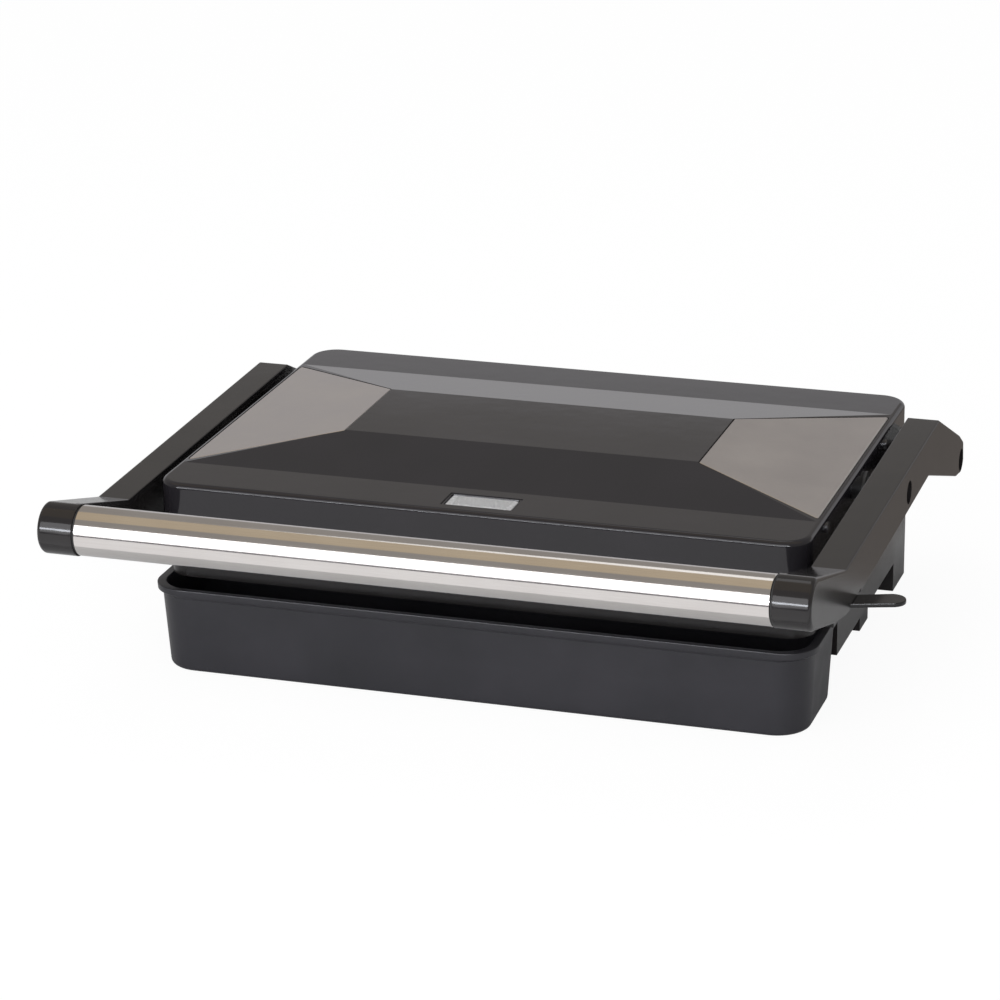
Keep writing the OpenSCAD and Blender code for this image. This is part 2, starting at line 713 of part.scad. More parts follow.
module lid_skin(inset) hull() {
    r = lid_corner_r - inset;
    e = max(lid_edge_r - inset, 0.3);
    top = rim_z - inset;
    slab(lid_w - 2 * inset, lid_front + inset, lid_rear - inset, r,
        lid_bottom - (inset > 0 ? 1 : 0), top - e, $fn = 48);
    for (a = [30, 60, 90])
        slab(lid_w - 2 * inset - 2 * e * (1 - cos(a)), lid_front + inset + e * (1 - cos(a)),
            lid_rear - inset - e * (1 - cos(a)), r - e * (1 - cos(a)),
            top - e, top - e + e * sin(a), $fn = 48);
}

// hipped roof, lowered by drop
module roof(drop) translate([0, 0, -drop]) hull() {
    translate([-roof_x, roof_y0, rim_z - 1.5]) cube([2 * roof_x, roof_y3 - roof_y0, 1.5]);
    translate([-plateau_w / 2, roof_y1, plateau_z - eps]) cube([plateau_w, roof_y2 - roof_y1, eps]);
}

// the trapezoid of one steel inset in the plane of the right slope, grown by gap
module inset_outline(gap) offset(delta = gap) polygon([
    [0, roof_y0 + inset_margin], [0, roof_y3 - inset_margin],
    [roof_len - 1, roof_y2 + 0.4], [roof_len - 1, roof_y1 - 0.4]
]);

module inset_plate(depth, lift, gap)
    translate([roof_x, 0, rim_z]) rotate([0, roof_angle, 0]) mirror([1, 0, 0])
        translate([0.3, 0, -depth]) linear_extrude(depth + lift) inset_outline(gap);

window_y = lid_front + (roof_front_band - window_d) / 2;
lid_post_x = plate_w / 2 - 34;
lid_post_y = [plate_y + 30, plate_y + plate_d - 30];
lid_screw_h = 12;

module lid_cover() color([0.09, 0.085, 0.09]) difference() {
    union() {
        difference() {
            union() {
                lid_skin(0);
                roof(0);
            }
            lid_skin(lid_wall);
            roof(lid_wall);
        }
        // bosses of the floating pivots
        both_sides() x_bar(lid_w / 2 - lid_wall - 4, lid_w / 2 - 0.5, float_pivot_y, float_pivot_z, 9);
        // posts that the plate hangs from, up to the roof
        intersection() {
            both_sides() for (y = lid_post_y) translate([lid_post_x, y, upper_back_z])
                cylinder(r = 4, h = plateau_z - upper_back_z);
            union() {
                lid_skin(1);
                roof(1);
            }
        }
    }
    both_sides() inset_plate(inset_t + 0.1, 3, inset_joint);
    // window of the pilot lamps
    translate([-window_w / 2, window_y, rim_z - lid_wall - 1]) cube([window_w, window_d, lid_wall + 3]);
    both_sides() x_bar(lid_w / 2 - lid_wall - 6, lid_w / 2 + 1, float_pivot_y, float_pivot_z,
        float_pin_r + running + bush_wall + seat);
    both_sides() for (y = lid_post_y)
        translate([lid_post_x, y, upper_back_z - 1]) cylinder(r = screw_bore_r, h = lid_screw_h + 3);
}

module steel_inset_left() color([0.62, 0.59, 0.56]) mirror([1, 0, 0]) steel_inset_right();
module steel_inset_right() color([0.62, 0.59, 0.56]) inset_plate(inset_t, 0, 0);

module lamp_bezel() color([0.05, 0.05, 0.05]) difference() {
    translate([-window_w / 2 + 0.1, window_y + 0.1, rim_z - lid_wall - 3])
        cube([window_w - 0.2, window_d - 0.2, lid_wall + 2.4]);
    translate([-window_w / 2 + 1.3, window_y + 1.3, rim_z - lid_wall - 1.4])
        cube([window_w - 2.6, window_d - 2.6, lid_wall + 4]);
    translate([-window_w / 2 + 4, window_y + 4, rim_z - lid_wall - 4])
        cube([window_w - 8, window_d - 8, 8]);
}

lens_ribs = 14;
module lamp_lens() color([0.75, 0.75, 0.72]) {
    translate([-window_w / 2 + 1.5, window_y + 1.5, rim_z - lid_wall - 1.3])
        cube([window_w - 3, window_d - 3, 2]);
    for (i = [0:lens_ribs - 1])
        translate([-window_w / 2 + 3 + (i + 0.5) * (window_w - 9) / lens_ribs, window_y + 2,
            rim_z - lid_wall + 0.7]) rotate([-90, 0, 0]) cylinder(r = 0.6, h = window_d - 4, $fn = 16);
    translate([window_w / 2 - 3.6, window_y + window_d / 2, rim_z - lid_wall + 0.6])
        cylinder(r = 1.5, h = 0.9);
}

module pilot_lamps() for (s = [-1, 1]) color(s < 0 ? [0.8, 0.2, 0.1] : [0.2, 0.7, 0.2])
    translate([s * 7, window_y + window_d / 2, rim_z - lid_wall - 8]) {
        cylinder(r = 2.6, h = 4);
        translate([0, 0, 4]) sphere(2.6, $fn = 32);
    }

module lid_bush() difference() {
    union() {
        x_bar(lid_w / 2 - lid_wall - 4, arm_x0 - 0.4, float_pivot_y, float_pivot_z,
            float_pin_r + running + bush_wall);
        x_bar(lid_w / 2 + 0.05, lid_w / 2 + 1.4, float_pivot_y, float_pivot_z, float_pin_r + 4);
    }
    x_bar(lid_w / 2 - lid_wall - 6, arm_x0 + 1, float_pivot_y, float_pivot_z, float_pin_r + running);
}
module lid_bush_left() color([0.55, 0.55, 0.56]) mirror([1, 0, 0]) lid_bush();
module lid_bush_right() color([0.55, 0.55, 0.56]) lid_bush();

module lid_liner() color([0.12, 0.12, 0.12]) difference() {
    slab(lid_w - 2 * lid_wall - 2 * fit, lid_front + lid_wall + fit, lid_rear - lid_wall - fit,
        lid_corner_r - lid_wall - fit, lid_bottom + 0.6, lid_bottom + 6);
    slab(lid_w - 2 * lid_wall - 2 * fit - 2, lid_front + lid_wall + fit + 1, lid_rear - lid_wall - fit - 1,
        lid_corner_r - lid_wall - fit - 1, lid_bottom + 1.6, lid_bottom + 7);
    slab(plate_w + 2 * fit, plate_y - fit, plate_y + plate_d + fit, plate_corner_r + fit,
        lid_bottom - 1, lid_bottom + 3);
}

upper_face_z = plate_meet_z + plate_air;
upper_back_z = upper_face_z + plate_rim_h + plate_floor;
upper_rod_z = upper_back_z + heater_r + 0.2;

module upper_plate() color([0.12, 0.12, 0.125]) {
    translate([0, 0, upper_back_z]) mirror([0, 0, 1]) grill_plate(plate_rim_h);
    difference() {
        heater_groove(upper_back_z - 0.5, upper_back_z + 2.5);
        for (s = [-1, 1])
            x_bar(-heater_x - 1, heater_x + 1, heater_y + s * heater_turn, upper_rod_z, groove_r);
    }
}

module upper_heater() color([0.45, 0.45, 0.46]) translate([0, 0, upper_rod_z]) heater_rod();

module upper_reflector() color([0.75, 0.75, 0.76]) {
    difference() {
        reflector_pan(upper_rod_z + heater_r + 1, false);
        both_sides() for (y = lid_post_y) translate([lid_post_x, y, upper_back_z]) cylinder(r = 5, h = 30);
    }
    for (x = [-plate_w / 4, 0, plate_w / 4])
        translate([x, heater_y, upper_back_z + 0.1])
            cylinder(r = 4, h = upper_rod_z + heater_r + 5.5 - upper_back_z);
}

module upper_fuse() color([0.8, 0.78, 0.6]) fuse(upper_back_z + fuse_r + 0.2);

module lid_screws() color([0.6, 0.6, 0.62]) both_sides() for (y = lid_post_y)
    translate([lid_post_x, y, upper_back_z]) cylinder(r = screw_r, h = lid_screw_h);

// ---------------------------------------------------------------- drip tray

module tray_body(inset, z0) hull() {
    r = tray_corner_r - inset;
    slab(tray_w - 2 * inset, -tray_d / 2 + inset, tray_d / 2 - inset, r, z0, z0 + eps, $fn = 48);
    slab(tray_w + 2 * tray_flare - 2 * inset, -tray_d / 2 - tray_lean + inset,
        tray_d / 2 + tray_lean - inset, r,
        tray_h - (inset > 0 ? 0 : eps), tray_h + (inset > 0 ? 1 : 0), $fn = 48);
}

module drip_tray() color([0.11, 0.11, 0.12]) difference() {
    union() {
        tray_body(0, 0);
        slab(tray_w + 2 * tray_flare + 2 * lip_out, -tray_d / 2 - tray_lean - 1, tray_rear_lip,
            tray_corner_r + 1, tray_h - tray_lip_t, tray_h, $fn = 48);
    }
    tray_body(tray_wall, tray_wall);
}

base_housing();
base_back();
base_cover();
lower_plate();
lower_heater();
lower_reflector();
thermostat();
thermal_fuse();
terminal_block();
cord_bushing();
foot_pads();
base_screws();
hinge_screw_left();
hinge_screw_right();
arm_left();
arm_right();
arm_cover_left();
arm_cover_right();
hinge_bush_left();
hinge_bush_right();
float_bolt_left();
float_bolt_right();
handle_tube();
handle_ring_left();
handle_ring_right();
arm_screws();
lock_pin();
lid_cover();
steel_inset_left();
steel_inset_right();
lamp_bezel();
lamp_lens();
pilot_lamps();
lid_bush_left();
lid_bush_right();
lid_liner();
upper_plate();
upper_heater();
upper_reflector();
upper_fuse();
lid_screws();
drip_tray();
lock_lever();
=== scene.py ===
# %% [markdown]
# # An electric contact grill
#
# The grill stands closed on a pale surface: a glossy black lid with a hipped roof and two steel
# insets, held between two black arms that carry a steel tube, over a satin drip tray.
# The construction is given. Every cell below finds its piece in that frame, measures it, and
# gives it the edges, details and finish that the real one has.

# %% Load the frame
import json
import math

import bmesh
import bpy
from mathutils import Euler, Matrix, Vector


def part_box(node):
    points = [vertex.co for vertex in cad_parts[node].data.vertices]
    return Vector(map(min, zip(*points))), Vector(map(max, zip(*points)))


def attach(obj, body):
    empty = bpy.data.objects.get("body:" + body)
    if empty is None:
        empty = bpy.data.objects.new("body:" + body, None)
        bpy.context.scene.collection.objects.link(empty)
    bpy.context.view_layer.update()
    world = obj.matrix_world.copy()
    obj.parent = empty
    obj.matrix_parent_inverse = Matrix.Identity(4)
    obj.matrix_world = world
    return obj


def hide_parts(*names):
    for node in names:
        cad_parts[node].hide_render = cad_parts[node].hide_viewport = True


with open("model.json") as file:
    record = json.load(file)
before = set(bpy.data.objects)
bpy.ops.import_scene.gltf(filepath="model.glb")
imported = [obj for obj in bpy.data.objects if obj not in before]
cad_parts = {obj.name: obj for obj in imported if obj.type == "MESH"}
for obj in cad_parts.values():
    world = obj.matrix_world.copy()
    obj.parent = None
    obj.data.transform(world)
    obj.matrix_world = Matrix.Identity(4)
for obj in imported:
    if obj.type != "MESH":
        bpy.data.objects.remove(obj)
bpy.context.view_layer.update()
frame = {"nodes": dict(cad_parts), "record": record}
MM = 0.001


def span(node):
    """Lowest and highest corner of a node, in millimetres."""
    low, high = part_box(node)
    return low / MM, high / MM


def axis_of(joint):
    """A point on a joint's axis, in millimetres."""
    found = [made for made in frame["record"]["behaviour"]["joints"] if made["name"] == joint]
    return Vector(found[0]["pos_m"]) / MM


float_axis, hinge_axis = axis_of("lid_float"), axis_of("arm_hinge")

# %% [markdown]
# ## The camera
#
# A product shot is taken with a long lens, which keeps upright edges nearly parallel. The
# photograph's straight edges gave the lens and the place of the camera: 18 degrees to the
# right of the middle and 19.5 degrees above it, held about 0.7 degrees off level.

# %% Camera
CAMERA_PLACE = (0.4843, -1.4808, 0.6378)
CAMERA_DOWN = 19.47
CAMERA_ASIDE = 17.98
CAMERA_ROLL = 0.72
LENS = 131.7

camera = bpy.data.objects.new("camera", bpy.data.cameras.new("camera"))
bpy.context.scene.collection.objects.link(camera)
camera.data.lens = LENS
camera.data.sensor_width = 36
camera.location = CAMERA_PLACE
aim = Euler((math.radians(90 - CAMERA_DOWN), 0, math.radians(CAMERA_ASIDE))).to_matrix()
camera.rotation_euler = (aim @ Matrix.Rotation(math.radians(-CAMERA_ROLL), 3, "Z")).to_euler()
bpy.context.scene.camera = camera
bpy.context.scene.view_settings.view_transform = "Standard"
print("camera", [round(v, 3) for v in camera.location], "lens", LENS)

# %% [markdown]
# ## Shader maths as Python
#
# A material is a small calculation, and it reads best as one. `Wire` wraps an output socket, so
# that `a * b + 1` adds its own Math nodes. `Finish` is a material with one method that adds any
# other node: its settings are set first, and then its inputs, by number or by name.


# %% Wires and finishes
class Wire:
    """An output socket whose arithmetic adds Math nodes."""

    def __init__(self, finish, socket):
        self.finish, self.socket = finish, socket

    def math(self, operation, *values):
        """A Math node over plain numbers and wires."""
        return self.finish.node("Math", {"operation": operation}, dict(enumerate(values)))

    def __add__(self, other):
        return self.math("ADD", self, other)

    def __rsub__(self, other):
        return self.math("SUBTRACT", other, self)

    def __mul__(self, other):
        return self.math("MULTIPLY", self, other)

    def __abs__(self):
        return self.math("ABSOLUTE", self)

    __radd__, __rmul__ = __add__, __mul__


class Finish:
    """A material under construction."""

    def __init__(self, data, shader, output):
        data.use_nodes = True
        self.data, self.tree = data, data.node_tree
        self.tree.nodes.clear()
        self.shader = self.tree.nodes.new(shader)
        out = self.tree.nodes.new(output)
        self.tree.links.new(self.shader.outputs[0], out.inputs["Surface"])

    def node(self, kind, settings=None, inputs=None, output=0):
        """Adds a shader node and gives back one of its outputs as a wire."""
        made = self.tree.nodes.new("ShaderNode" + kind)
        for name, value in (settings or {}).items():
            if name == "stops":
                ramp = made.color_ramp
                while len(ramp.elements) < len(value):
                    ramp.elements.new(1.0)
                for stop, (place, colour) in zip(ramp.elements, value):
                    stop.position, stop.color = place, colour
            else:
                setattr(made, name, value)
        for key, value in (inputs or {}).items():
            self.plug(value, made.inputs[key])
        return Wire(self, made.outputs[output])

    def plug(self, value, socket):
        """Links a wire to an input, or sets the input to a plain value."""
        if isinstance(value, Wire):
            self.tree.links.new(value.socket, socket)
        else:
            socket.default_value = value

    def set(self, **inputs):
        """Plugs the shader's own inputs. An underscore stands for a space."""
        for name, value in inputs.items():
            self.plug(value, self.shader.inputs[name.replace("_", " ")])
        return self


def surface(name, shader="BsdfPrincipled"):
    """A new material around one shader."""
    return Finish(bpy.data.materials.new(name), "ShaderNode" + shader, "ShaderNodeOutputMaterial")


def grey(value):
    """An opaque grey."""
    return (value, value, value, 1.0)


# %% [markdown]
# ## Patterns that several finishes share
#
# Moulded plastic is never quite even: it has a faint waviness from the mould and wiped-off
# streaks. Brushed steel has long fine lines, and a coated casting has tiny sparkles. All of them
# read Object coordinates, in metres, so they keep their real scale on every piece.


# %% Patterns
def place_on(finish, stretch=(1, 1, 1)):
    """Object coordinates, in metres, stretched along the axes."""
    where = finish.node("TexCoord", output="Object")
    return finish.node("Mapping", inputs={"Vector": where, "Scale": stretch})


def noise(finish, size, detail=2.0, stretch=(1, 1, 1), rough=0.5):
    """Noise between 0 and 1 with lumps of about the given size in metres."""
    where = place_on(finish, stretch)
    inputs = {"Vector": where, "Scale": 1 / size, "Detail": detail, "Roughness": rough}
    return finish.node("TexNoise", None, inputs, "Fac")


def ramp(finish, value, *stops):
    """A colour for each stretch of a value: stops are (place, colour)."""
    return finish.node("ValToRGB", {"stops": stops}, {"Fac": value}, "Color")


def spread(finish, value, low, high, to_low=0.0, to_high=1.0):
    """Maps low..high to to_low..to_high, and clamps outside."""
    inputs = {0: value, 1: low, 2: high, 3: to_low, 4: to_high}
    return finish.node("MapRange", {"clamp": True}, inputs)


def mix(finish, share, first, second):
    """A colour between two others."""
    return finish.node("Mix", {"data_type": "RGBA"}, {0: share, 6: first, 7: second}, 2)


def tinted(finish, value, dark, light):
    """A colour that wanders between two tints with a noise."""
    return ramp(finish, value, (0.3, (*dark, 1)), (0.7, (*light, 1)))


def uneven(finish, value, rough):
    """A roughness that wanders a little round its mean with a noise."""
    return spread(finish, value, 0.3, 0.7, rough * 0.85, rough * 1.2)


def specks(finish, size, share):
    """Small round specks: 1 on a speck, 0 elsewhere. share is how many cells hold one."""
    inputs = {"Vector": place_on(finish), "Scale": 1 / size}
    distance = finish.node("TexVoronoi", None, inputs, "Distance")
    cell_colour = finish.node("TexVoronoi", None, inputs, "Color")
    chance = finish.node("SeparateColor", None, {0: cell_colour}, "Red")
    on_speck = 1 - spread(finish, distance, 0.10, 0.16)
    chosen = 1 - spread(finish, chance, share, share + 0.001)
    return on_speck * chosen


def bump(finish, height, depth, normal=None):
    """A bump of the given depth in metres."""
    inputs = {"Height": height, "Distance": depth, "Strength": 1.0}
    if normal is not None:
        inputs["Normal"] = normal
    return finish.node("Bump", None, inputs, "Normal")


print("patterns: noise, ramp, spread, mix, tinted, uneven, specks and bump")

# %% [markdown]
# ## The plastics
#
# Lid and arms are glossy black ABS. What is seen on them is almost only reflection, so the base
# colour is nearly black and the gloss does the work. The flat outer sides of the arms are a
# little rougher, from handling. The tray and base are the same plastic from a mould with a satin
# surface, which scatters more light and shows faint cloudy marks.


# %% Plastics
MOULD_WAVE = 0.00002
ARM_SIDE = (0.1728, 0.1734)


def plastic(name, dark, light, rough, satin=0.0, side_rough=None):
    """Moulded plastic between two tints. side_rough is for the flat sides of the arms."""
    finish = surface(name)
    clouds = noise(finish, 0.045, 3.0)
    streaks = noise(finish, 0.012, 2.0, (0.15, 1, 1))
    roughness = uneven(finish, clouds * 0.6 + streaks * 0.4, rough)
    if side_rough:
        across = finish.node("SeparateXYZ", None, {0: finish.node("TexCoord", output="Object")}, "X")
        roughness = roughness + spread(finish, abs(across), *ARM_SIDE) * (side_rough - rough)
    normal = bump(finish, noise(finish, 0.009, 1.0), MOULD_WAVE)
    if satin:
        normal = bump(finish, noise(finish, 0.0006, 2.0), satin, normal)
    finish.set(Base_Color=tinted(finish, clouds, dark, light), Roughness=roughness, Normal=normal, IOR=1.46)
    return finish.data


finishes = {
    "lid_gloss": plastic("glossy black lid", (0.019, 0.018, 0.021), (0.023, 0.021, 0.025), 0.08),
    "arm_gloss": plastic("glossy black arm", (0.016, 0.015, 0.016), (0.021, 0.019, 0.019), 0.11,
                         side_rough=0.25),
    "base_satin": plastic("satin black base", (0.013, 0.012, 0.012), (0.018, 0.016, 0.016), 0.22,
                          satin=0.000006),
    "tray_satin": plastic("satin black tray", (0.021, 0.021, 0.025), (0.027, 0.026, 0.032), 0.33,
                          satin=0.000008),
    "lever_gloss": plastic("glossy black lever", (0.011, 0.011, 0.011), (0.016, 0.015, 0.015), 0.16),
    "pad_rubber": plastic("black rubber", (0.015, 0.015, 0.015), (0.03, 0.03, 0.03), 0.75,
                          satin=0.00002),
    "white_nylon": plastic("white nylon", (0.55, 0.54, 0.50), (0.66, 0.65, 0.61), 0.42),
    "ceramic": plastic("glazed ceramic", (0.60, 0.58, 0.52), (0.72, 0.70, 0.64), 0.30),
    "bush_grey": plastic("grey bush", (0.05, 0.05, 0.052), (0.08, 0.08, 0.082), 0.35),
}
print("plastics:", sorted(finishes))

# %% [markdown]
# ## The steels
#
# Brushing leaves fine grooves along one direction. They are a noise that is drawn out fifty
# times along the brushed axis, and they feed a shallow bump and a small change of roughness and
# tint. Tube and insets are brushed from side to side, so their lines run along X.


# %% Steels
def steel(name, dark, light, rough, lines, depth=0.000004, blotches=0.0):
    """Metal with fine lines. lines stretches the noise: small along the brushed axis."""
    finish = surface(name)
    grooves = noise(finish, 0.0004, 3.0, lines, 0.6)
    cloud = noise(finish, 0.03, 3.0)
    tint = grooves * (1 - blotches) + cloud * blotches
    finish.set(Base_Color=tinted(finish, tint, dark, light), Metallic=1.0,
               Roughness=uneven(finish, grooves * 0.5 + cloud * 0.5, rough),
               Normal=bump(finish, grooves, depth))
    return finish.data


finishes.update({
    "tube_steel": steel("brushed tube", (0.64, 0.61, 0.59), (0.72, 0.70, 0.68), 0.10, (0.02, 1, 1),
                        depth=0.000001, blotches=0.5),
    "inset_steel": steel("brushed inset", (0.53, 0.50, 0.49), (0.63, 0.60, 0.58), 0.34, (0.02, 1, 1),
                         blotches=0.6),
    "screw_steel": steel("zinc screw", (0.42, 0.42, 0.44), (0.60, 0.60, 0.62), 0.30, (1, 1, 1)),
    "heater_steel": steel("heater sheath", (0.16, 0.14, 0.13), (0.30, 0.27, 0.25), 0.42, (0.1, 1, 1),
                          blotches=0.5),
    "sheet_steel": steel("galvanised sheet", (0.52, 0.53, 0.54), (0.68, 0.69, 0.70), 0.30, (1, 1, 1),
                         blotches=0.8),
    "liner_steel": steel("dark coated sheet", (0.020, 0.020, 0.020), (0.045, 0.045, 0.045), 0.45,
                         (1, 1, 1), blotches=0.5),
})
print("steels:", len(finishes), "finishes so far")

# %% [markdown]
# ## The coated plates and the lamp window
#
# The cooking plates carry a non-stick coat: dark grey, with a fine orange peel and tiny sparkles.
# The lens is frosted acrylic over two small lamps, so it is bright without being clear.


# %% Coat, lens and lamps
def coated_plate():
    """The plates' non-stick coat."""
    finish = surface("non-stick coat")
    peel, cloud = noise(finish, 0.0012, 2.0), noise(finish, 0.04, 2.0)
    base = tinted(finish, cloud, (0.020, 0.020, 0.021), (0.032, 0.032, 0.034))
    finish.set(Base_Color=mix(finish, specks(finish, 0.0009, 0.12), base, grey(0.10)),
               Roughness=spread(finish, cloud, 0.3, 0.7, 0.30, 0.42), Normal=bump(finish, peel, 0.00003))
    return finish.data


def lens():
    """Frosted acrylic."""
    finish = surface("frosted lens")
    frost = noise(finish, 0.0009, 3.0)
    base = ramp(finish, frost, (0.35, grey(0.60)), (0.65, grey(0.88)))
    finish.set(Base_Color=base, Roughness=spread(finish, frost, 0.3, 0.7, 0.12, 0.28),
               Normal=bump(finish, frost, 0.00002), Transmission_Weight=0.15, IOR=1.49)
    return finish.data


def unlit_lamps():
    """One red and one green lamp glass, left and right of the middle."""
    finish = surface("lamp glass")
    across = finish.node("SeparateXYZ", None, {0: finish.node("TexCoord", output="Object")}, "X")
    side = spread(finish, across, -0.001, 0.001)
    base = ramp(finish, side, (0.0, (0.45, 0.05, 0.03, 1)), (1.0, (0.06, 0.35, 0.08, 1)))
    finish.set(Base_Color=base, Roughness=spread(finish, noise(finish, 0.001), 0.3, 0.7, 0.08, 0.16))
    return finish.data


finishes.update(plate_coat=coated_plate(), lens_clear=lens(), lamp_glow=unlit_lamps())
print("finishes:", len(finishes))

# %% [markdown]
# ## A pale studio
#
# A shiny black thing shows what stands round it: a white table, a white backdrop that ends a
# little above the horizon, one long soft lamp in front with a brighter core, and a dim warm
# ceiling. Each is a card here. The cards are seen by reflections only, and a white world is what
# the camera sees behind the object. The lamps light it at a plain level.


# %% Stage helpers
def stage_plane(name, corners, material):
    """A flat card of the stage, given by its corners in metres."""
    mesh = bpy.data.meshes.new(name)
    mesh.from_pydata(corners, [], [tuple(range(len(corners)))])
    mesh.materials.append(material)
    made = bpy.data.objects.new(name, mesh)
    bpy.context.scene.collection.objects.link(made)
    return made


def floor_material():
    """White to the camera, with the object's shadow kept, and matt white to everything else."""
    finish = surface("white surface", "MixShader")
    rays = finish.tree.nodes.new("ShaderNodeLightPath")
    seen = Wire(finish, rays.outputs["Is Camera Ray"])
    plain = finish.node("BsdfDiffuse", None, {"Color": grey(0.82)})
    white = finish.node("Emission", None, {"Color": grey(1.0), "Strength": 1.06})
    finish.plug(seen * 0.88, finish.shader.inputs[0])
    finish.plug(plain, finish.shader.inputs[1])
    finish.plug(white, finish.shader.inputs[2])
    return finish.data


def reflection_card(name, corners, colour, strength):
    """A glowing or dark card that only reflections see."""
    glow = surface(name, "Emission").set(Color=(*colour, 1), Strength=strength)
    card = stage_plane(name, corners, glow.data)
    card.visible_camera = card.visible_diffuse = card.visible_shadow = False
    card.visible_transmission = card.visible_volume_scatter = False


def upright_card(name, x, y, z, colour, strength):
    """A card that stands across the view. x and z are its spans."""
    corners = [(x[0], y, z[0]), (x[1], y, z[0]), (x[1], y, z[1]), (x[0], y, z[1])]
    reflection_card(name, corners, colour, strength)


def level_card(name, x, y, z, colour, strength):
    """A card that lies level. x and y are its spans."""
    corners = [(x[0], y[0], z), (x[1], y[0], z), (x[1], y[1], z), (x[0], y[1], z)]
    reflection_card(name, corners, colour, strength)


# %% Floor and cards
FLOOR, TABLE, CEILING, BACK, FRONT = 4.0, 0.002, 1.6, 2.2, -2.2
stage_plane("floor", [(-FLOOR, -FLOOR, 0), (FLOOR, -FLOOR, 0), (FLOOR, FLOOR, 0), (-FLOOR, FLOOR, 0)],
            floor_material())
upright_card("backdrop", (-3, 3), BACK, (0, 0.80), (1.0, 0.98, 1.0), 0.60)
level_card("table_edge", (-2, 2), (-1.15, -0.60), TABLE, (0.30, 0.28, 0.32), 0.5)
level_card("near_table", (-2, 2), (-0.60, -0.16), TABLE, (1.0, 0.99, 1.0), 0.98)
level_card("own_shadow", (0.17, 1.1), (0.16, 1.3), TABLE, (0.95, 0.85, 0.78), 0.26)
upright_card("lamp_core", (-1.9, 1.5), FRONT + 0.05, (0.40, 0.62), (0.90, 0.93, 1.0), 20.0)
level_card("warm_ceiling", (-2, 2), (-0.75, 0.45), CEILING, (1.0, 0.84, 0.62), 0.55)


# %% Lamps and world
def soft_lamp(name, place, target, size, light, colour=(1, 1, 1)):
    """A rectangular lamp. light is how bright its face is, where 1 is white."""
    width, height = size
    lamp = bpy.data.lights.new(name, "AREA")
    lamp.shape, lamp.size, lamp.size_y = "RECTANGLE", width, height
    lamp.energy = light * math.pi * width * height
    lamp.color = colour
    made = bpy.data.objects.new(name, lamp)
    bpy.context.scene.collection.objects.link(made)
    made.location = place
    made.rotation_euler = (Vector(target) - Vector(place)).to_track_quat("-Z", "Y").to_euler()


soft_lamp("front_lamp", (-0.2, FRONT, 0.92), (-0.2, 0, 0.92), (3.4, 1.8), 2.4, (0.97, 0.97, 1.0))
soft_lamp("top_lamp", (-0.4, 0.3, 2.6), (0, 0.05, 0), (2.2, 1.6), 0.9)


def studio_world():
    """White to the camera, a grey-brown room to reflections, and a soft fill to the rest."""
    world = bpy.data.worlds.new("studio")
    bpy.context.scene.world = world
    finish = Finish(world, "ShaderNodeBackground", "ShaderNodeOutputWorld")
    rays = finish.tree.nodes.new("ShaderNodeLightPath")
    camera_ray = Wire(finish, rays.outputs["Is Camera Ray"])
    glossy_ray = Wire(finish, rays.outputs["Is Glossy Ray"])
    room = mix(finish, glossy_ray, grey(0.45), (0.34, 0.32, 0.30, 1))
    finish.set(Color=mix(finish, camera_ray, room, grey(1.0)), Strength=1.0)


studio_world()
print("lamps:", [lamp.name for lamp in bpy.data.lights])

# %% [markdown]
# ## Mesh helpers
#
# Most shells here are lofts: the same outline is drawn again and again at other heights and
# sizes, and neighbouring outlines are joined by faces. A rounded edge is then only a few more
# outlines on a quarter circle. `settle` marks the edges that stay crisp and lets large flat faces
# keep their own normals, so a fillet shades round and a flat stays flat.


# %% Outlines
CORNER_STEPS = 14
EDGE_STEPS = 6


def rounded_rectangle(x0, x1, y0, y1, radius, steps=CORNER_STEPS):
    """Points of a rectangle with round corners, counter-clockwise."""
    points = []
    for cx, cy, start in ((x1 - radius, y0 + radius, -90), (x1 - radius, y1 - radius, 0),
                          (x0 + radius, y1 - radius, 90), (x0 + radius, y0 + radius, 180)):
        points += arc(cx, cy, radius, start, start + 90, steps)
    return points


def round_corners(points, radii, steps=6):
    """Replaces each corner of a closed outline by an arc, of one radius or one for each."""
    rounded = []
    for index, (point, radius) in enumerate(zip(points, for_each(radii, points))):
        corner = Vector(point)
        before = (Vector(points[index - 1]) - corner).normalized()
        after = (Vector(points[(index + 1) % len(points)]) - corner).normalized()
        half = before.angle(after) / 2
        if radius <= 0 or half > math.radians(89):
            rounded.append(tuple(corner))
            continue
        centre = corner + (before + after).normalized() * (radius / math.sin(half))
        start = corner + before * (radius / math.tan(half)) - centre
        end = corner + after * (radius / math.tan(half)) - centre
        for step in range(steps + 1):
            part = start.slerp(end, step / steps)
            rounded.append(tuple(centre + part * (radius / part.length)))
    return rounded


def for_each(values, points):
    """A list with one value for each point. A single number counts for all of them."""
    return values if isinstance(values, list) else [values] * len(points)


def inset_outline(points, distances):
    """Draws a closed counter-clockwise outline in, by one distance or one for each point."""
    drawn = []
    for index, (point, distance) in enumerate(zip(points, for_each(distances, points))):
        corner = Vector(point)
        before = (corner - Vector(points[index - 1])).normalized()
        after = (Vector(points[(index + 1) % len(points)]) - corner).normalized()
        left_before, left_after = Vector((-before.y, before.x)), Vector((-after.y, after.x))
        middle = (left_before + left_after).normalized()
        drawn.append(tuple(corner + middle * (distance / max(middle.dot(left_after), 0.2))))
    return drawn


def arc(cy, cz, radius, start, stop, steps):
    """Points on an arc between two angles in degrees."""
    turns = [math.radians(start + (stop - start) * step / steps) for step in range(steps + 1)]
    return [(cy + radius * math.cos(turn), cz + radius * math.sin(turn)) for turn in turns]


def circle(cy, cz, radius, steps=48):
    """Points of a circle, counter-clockwise."""
    return arc(cy, cz, radius, 0, 360, steps)[:-1]


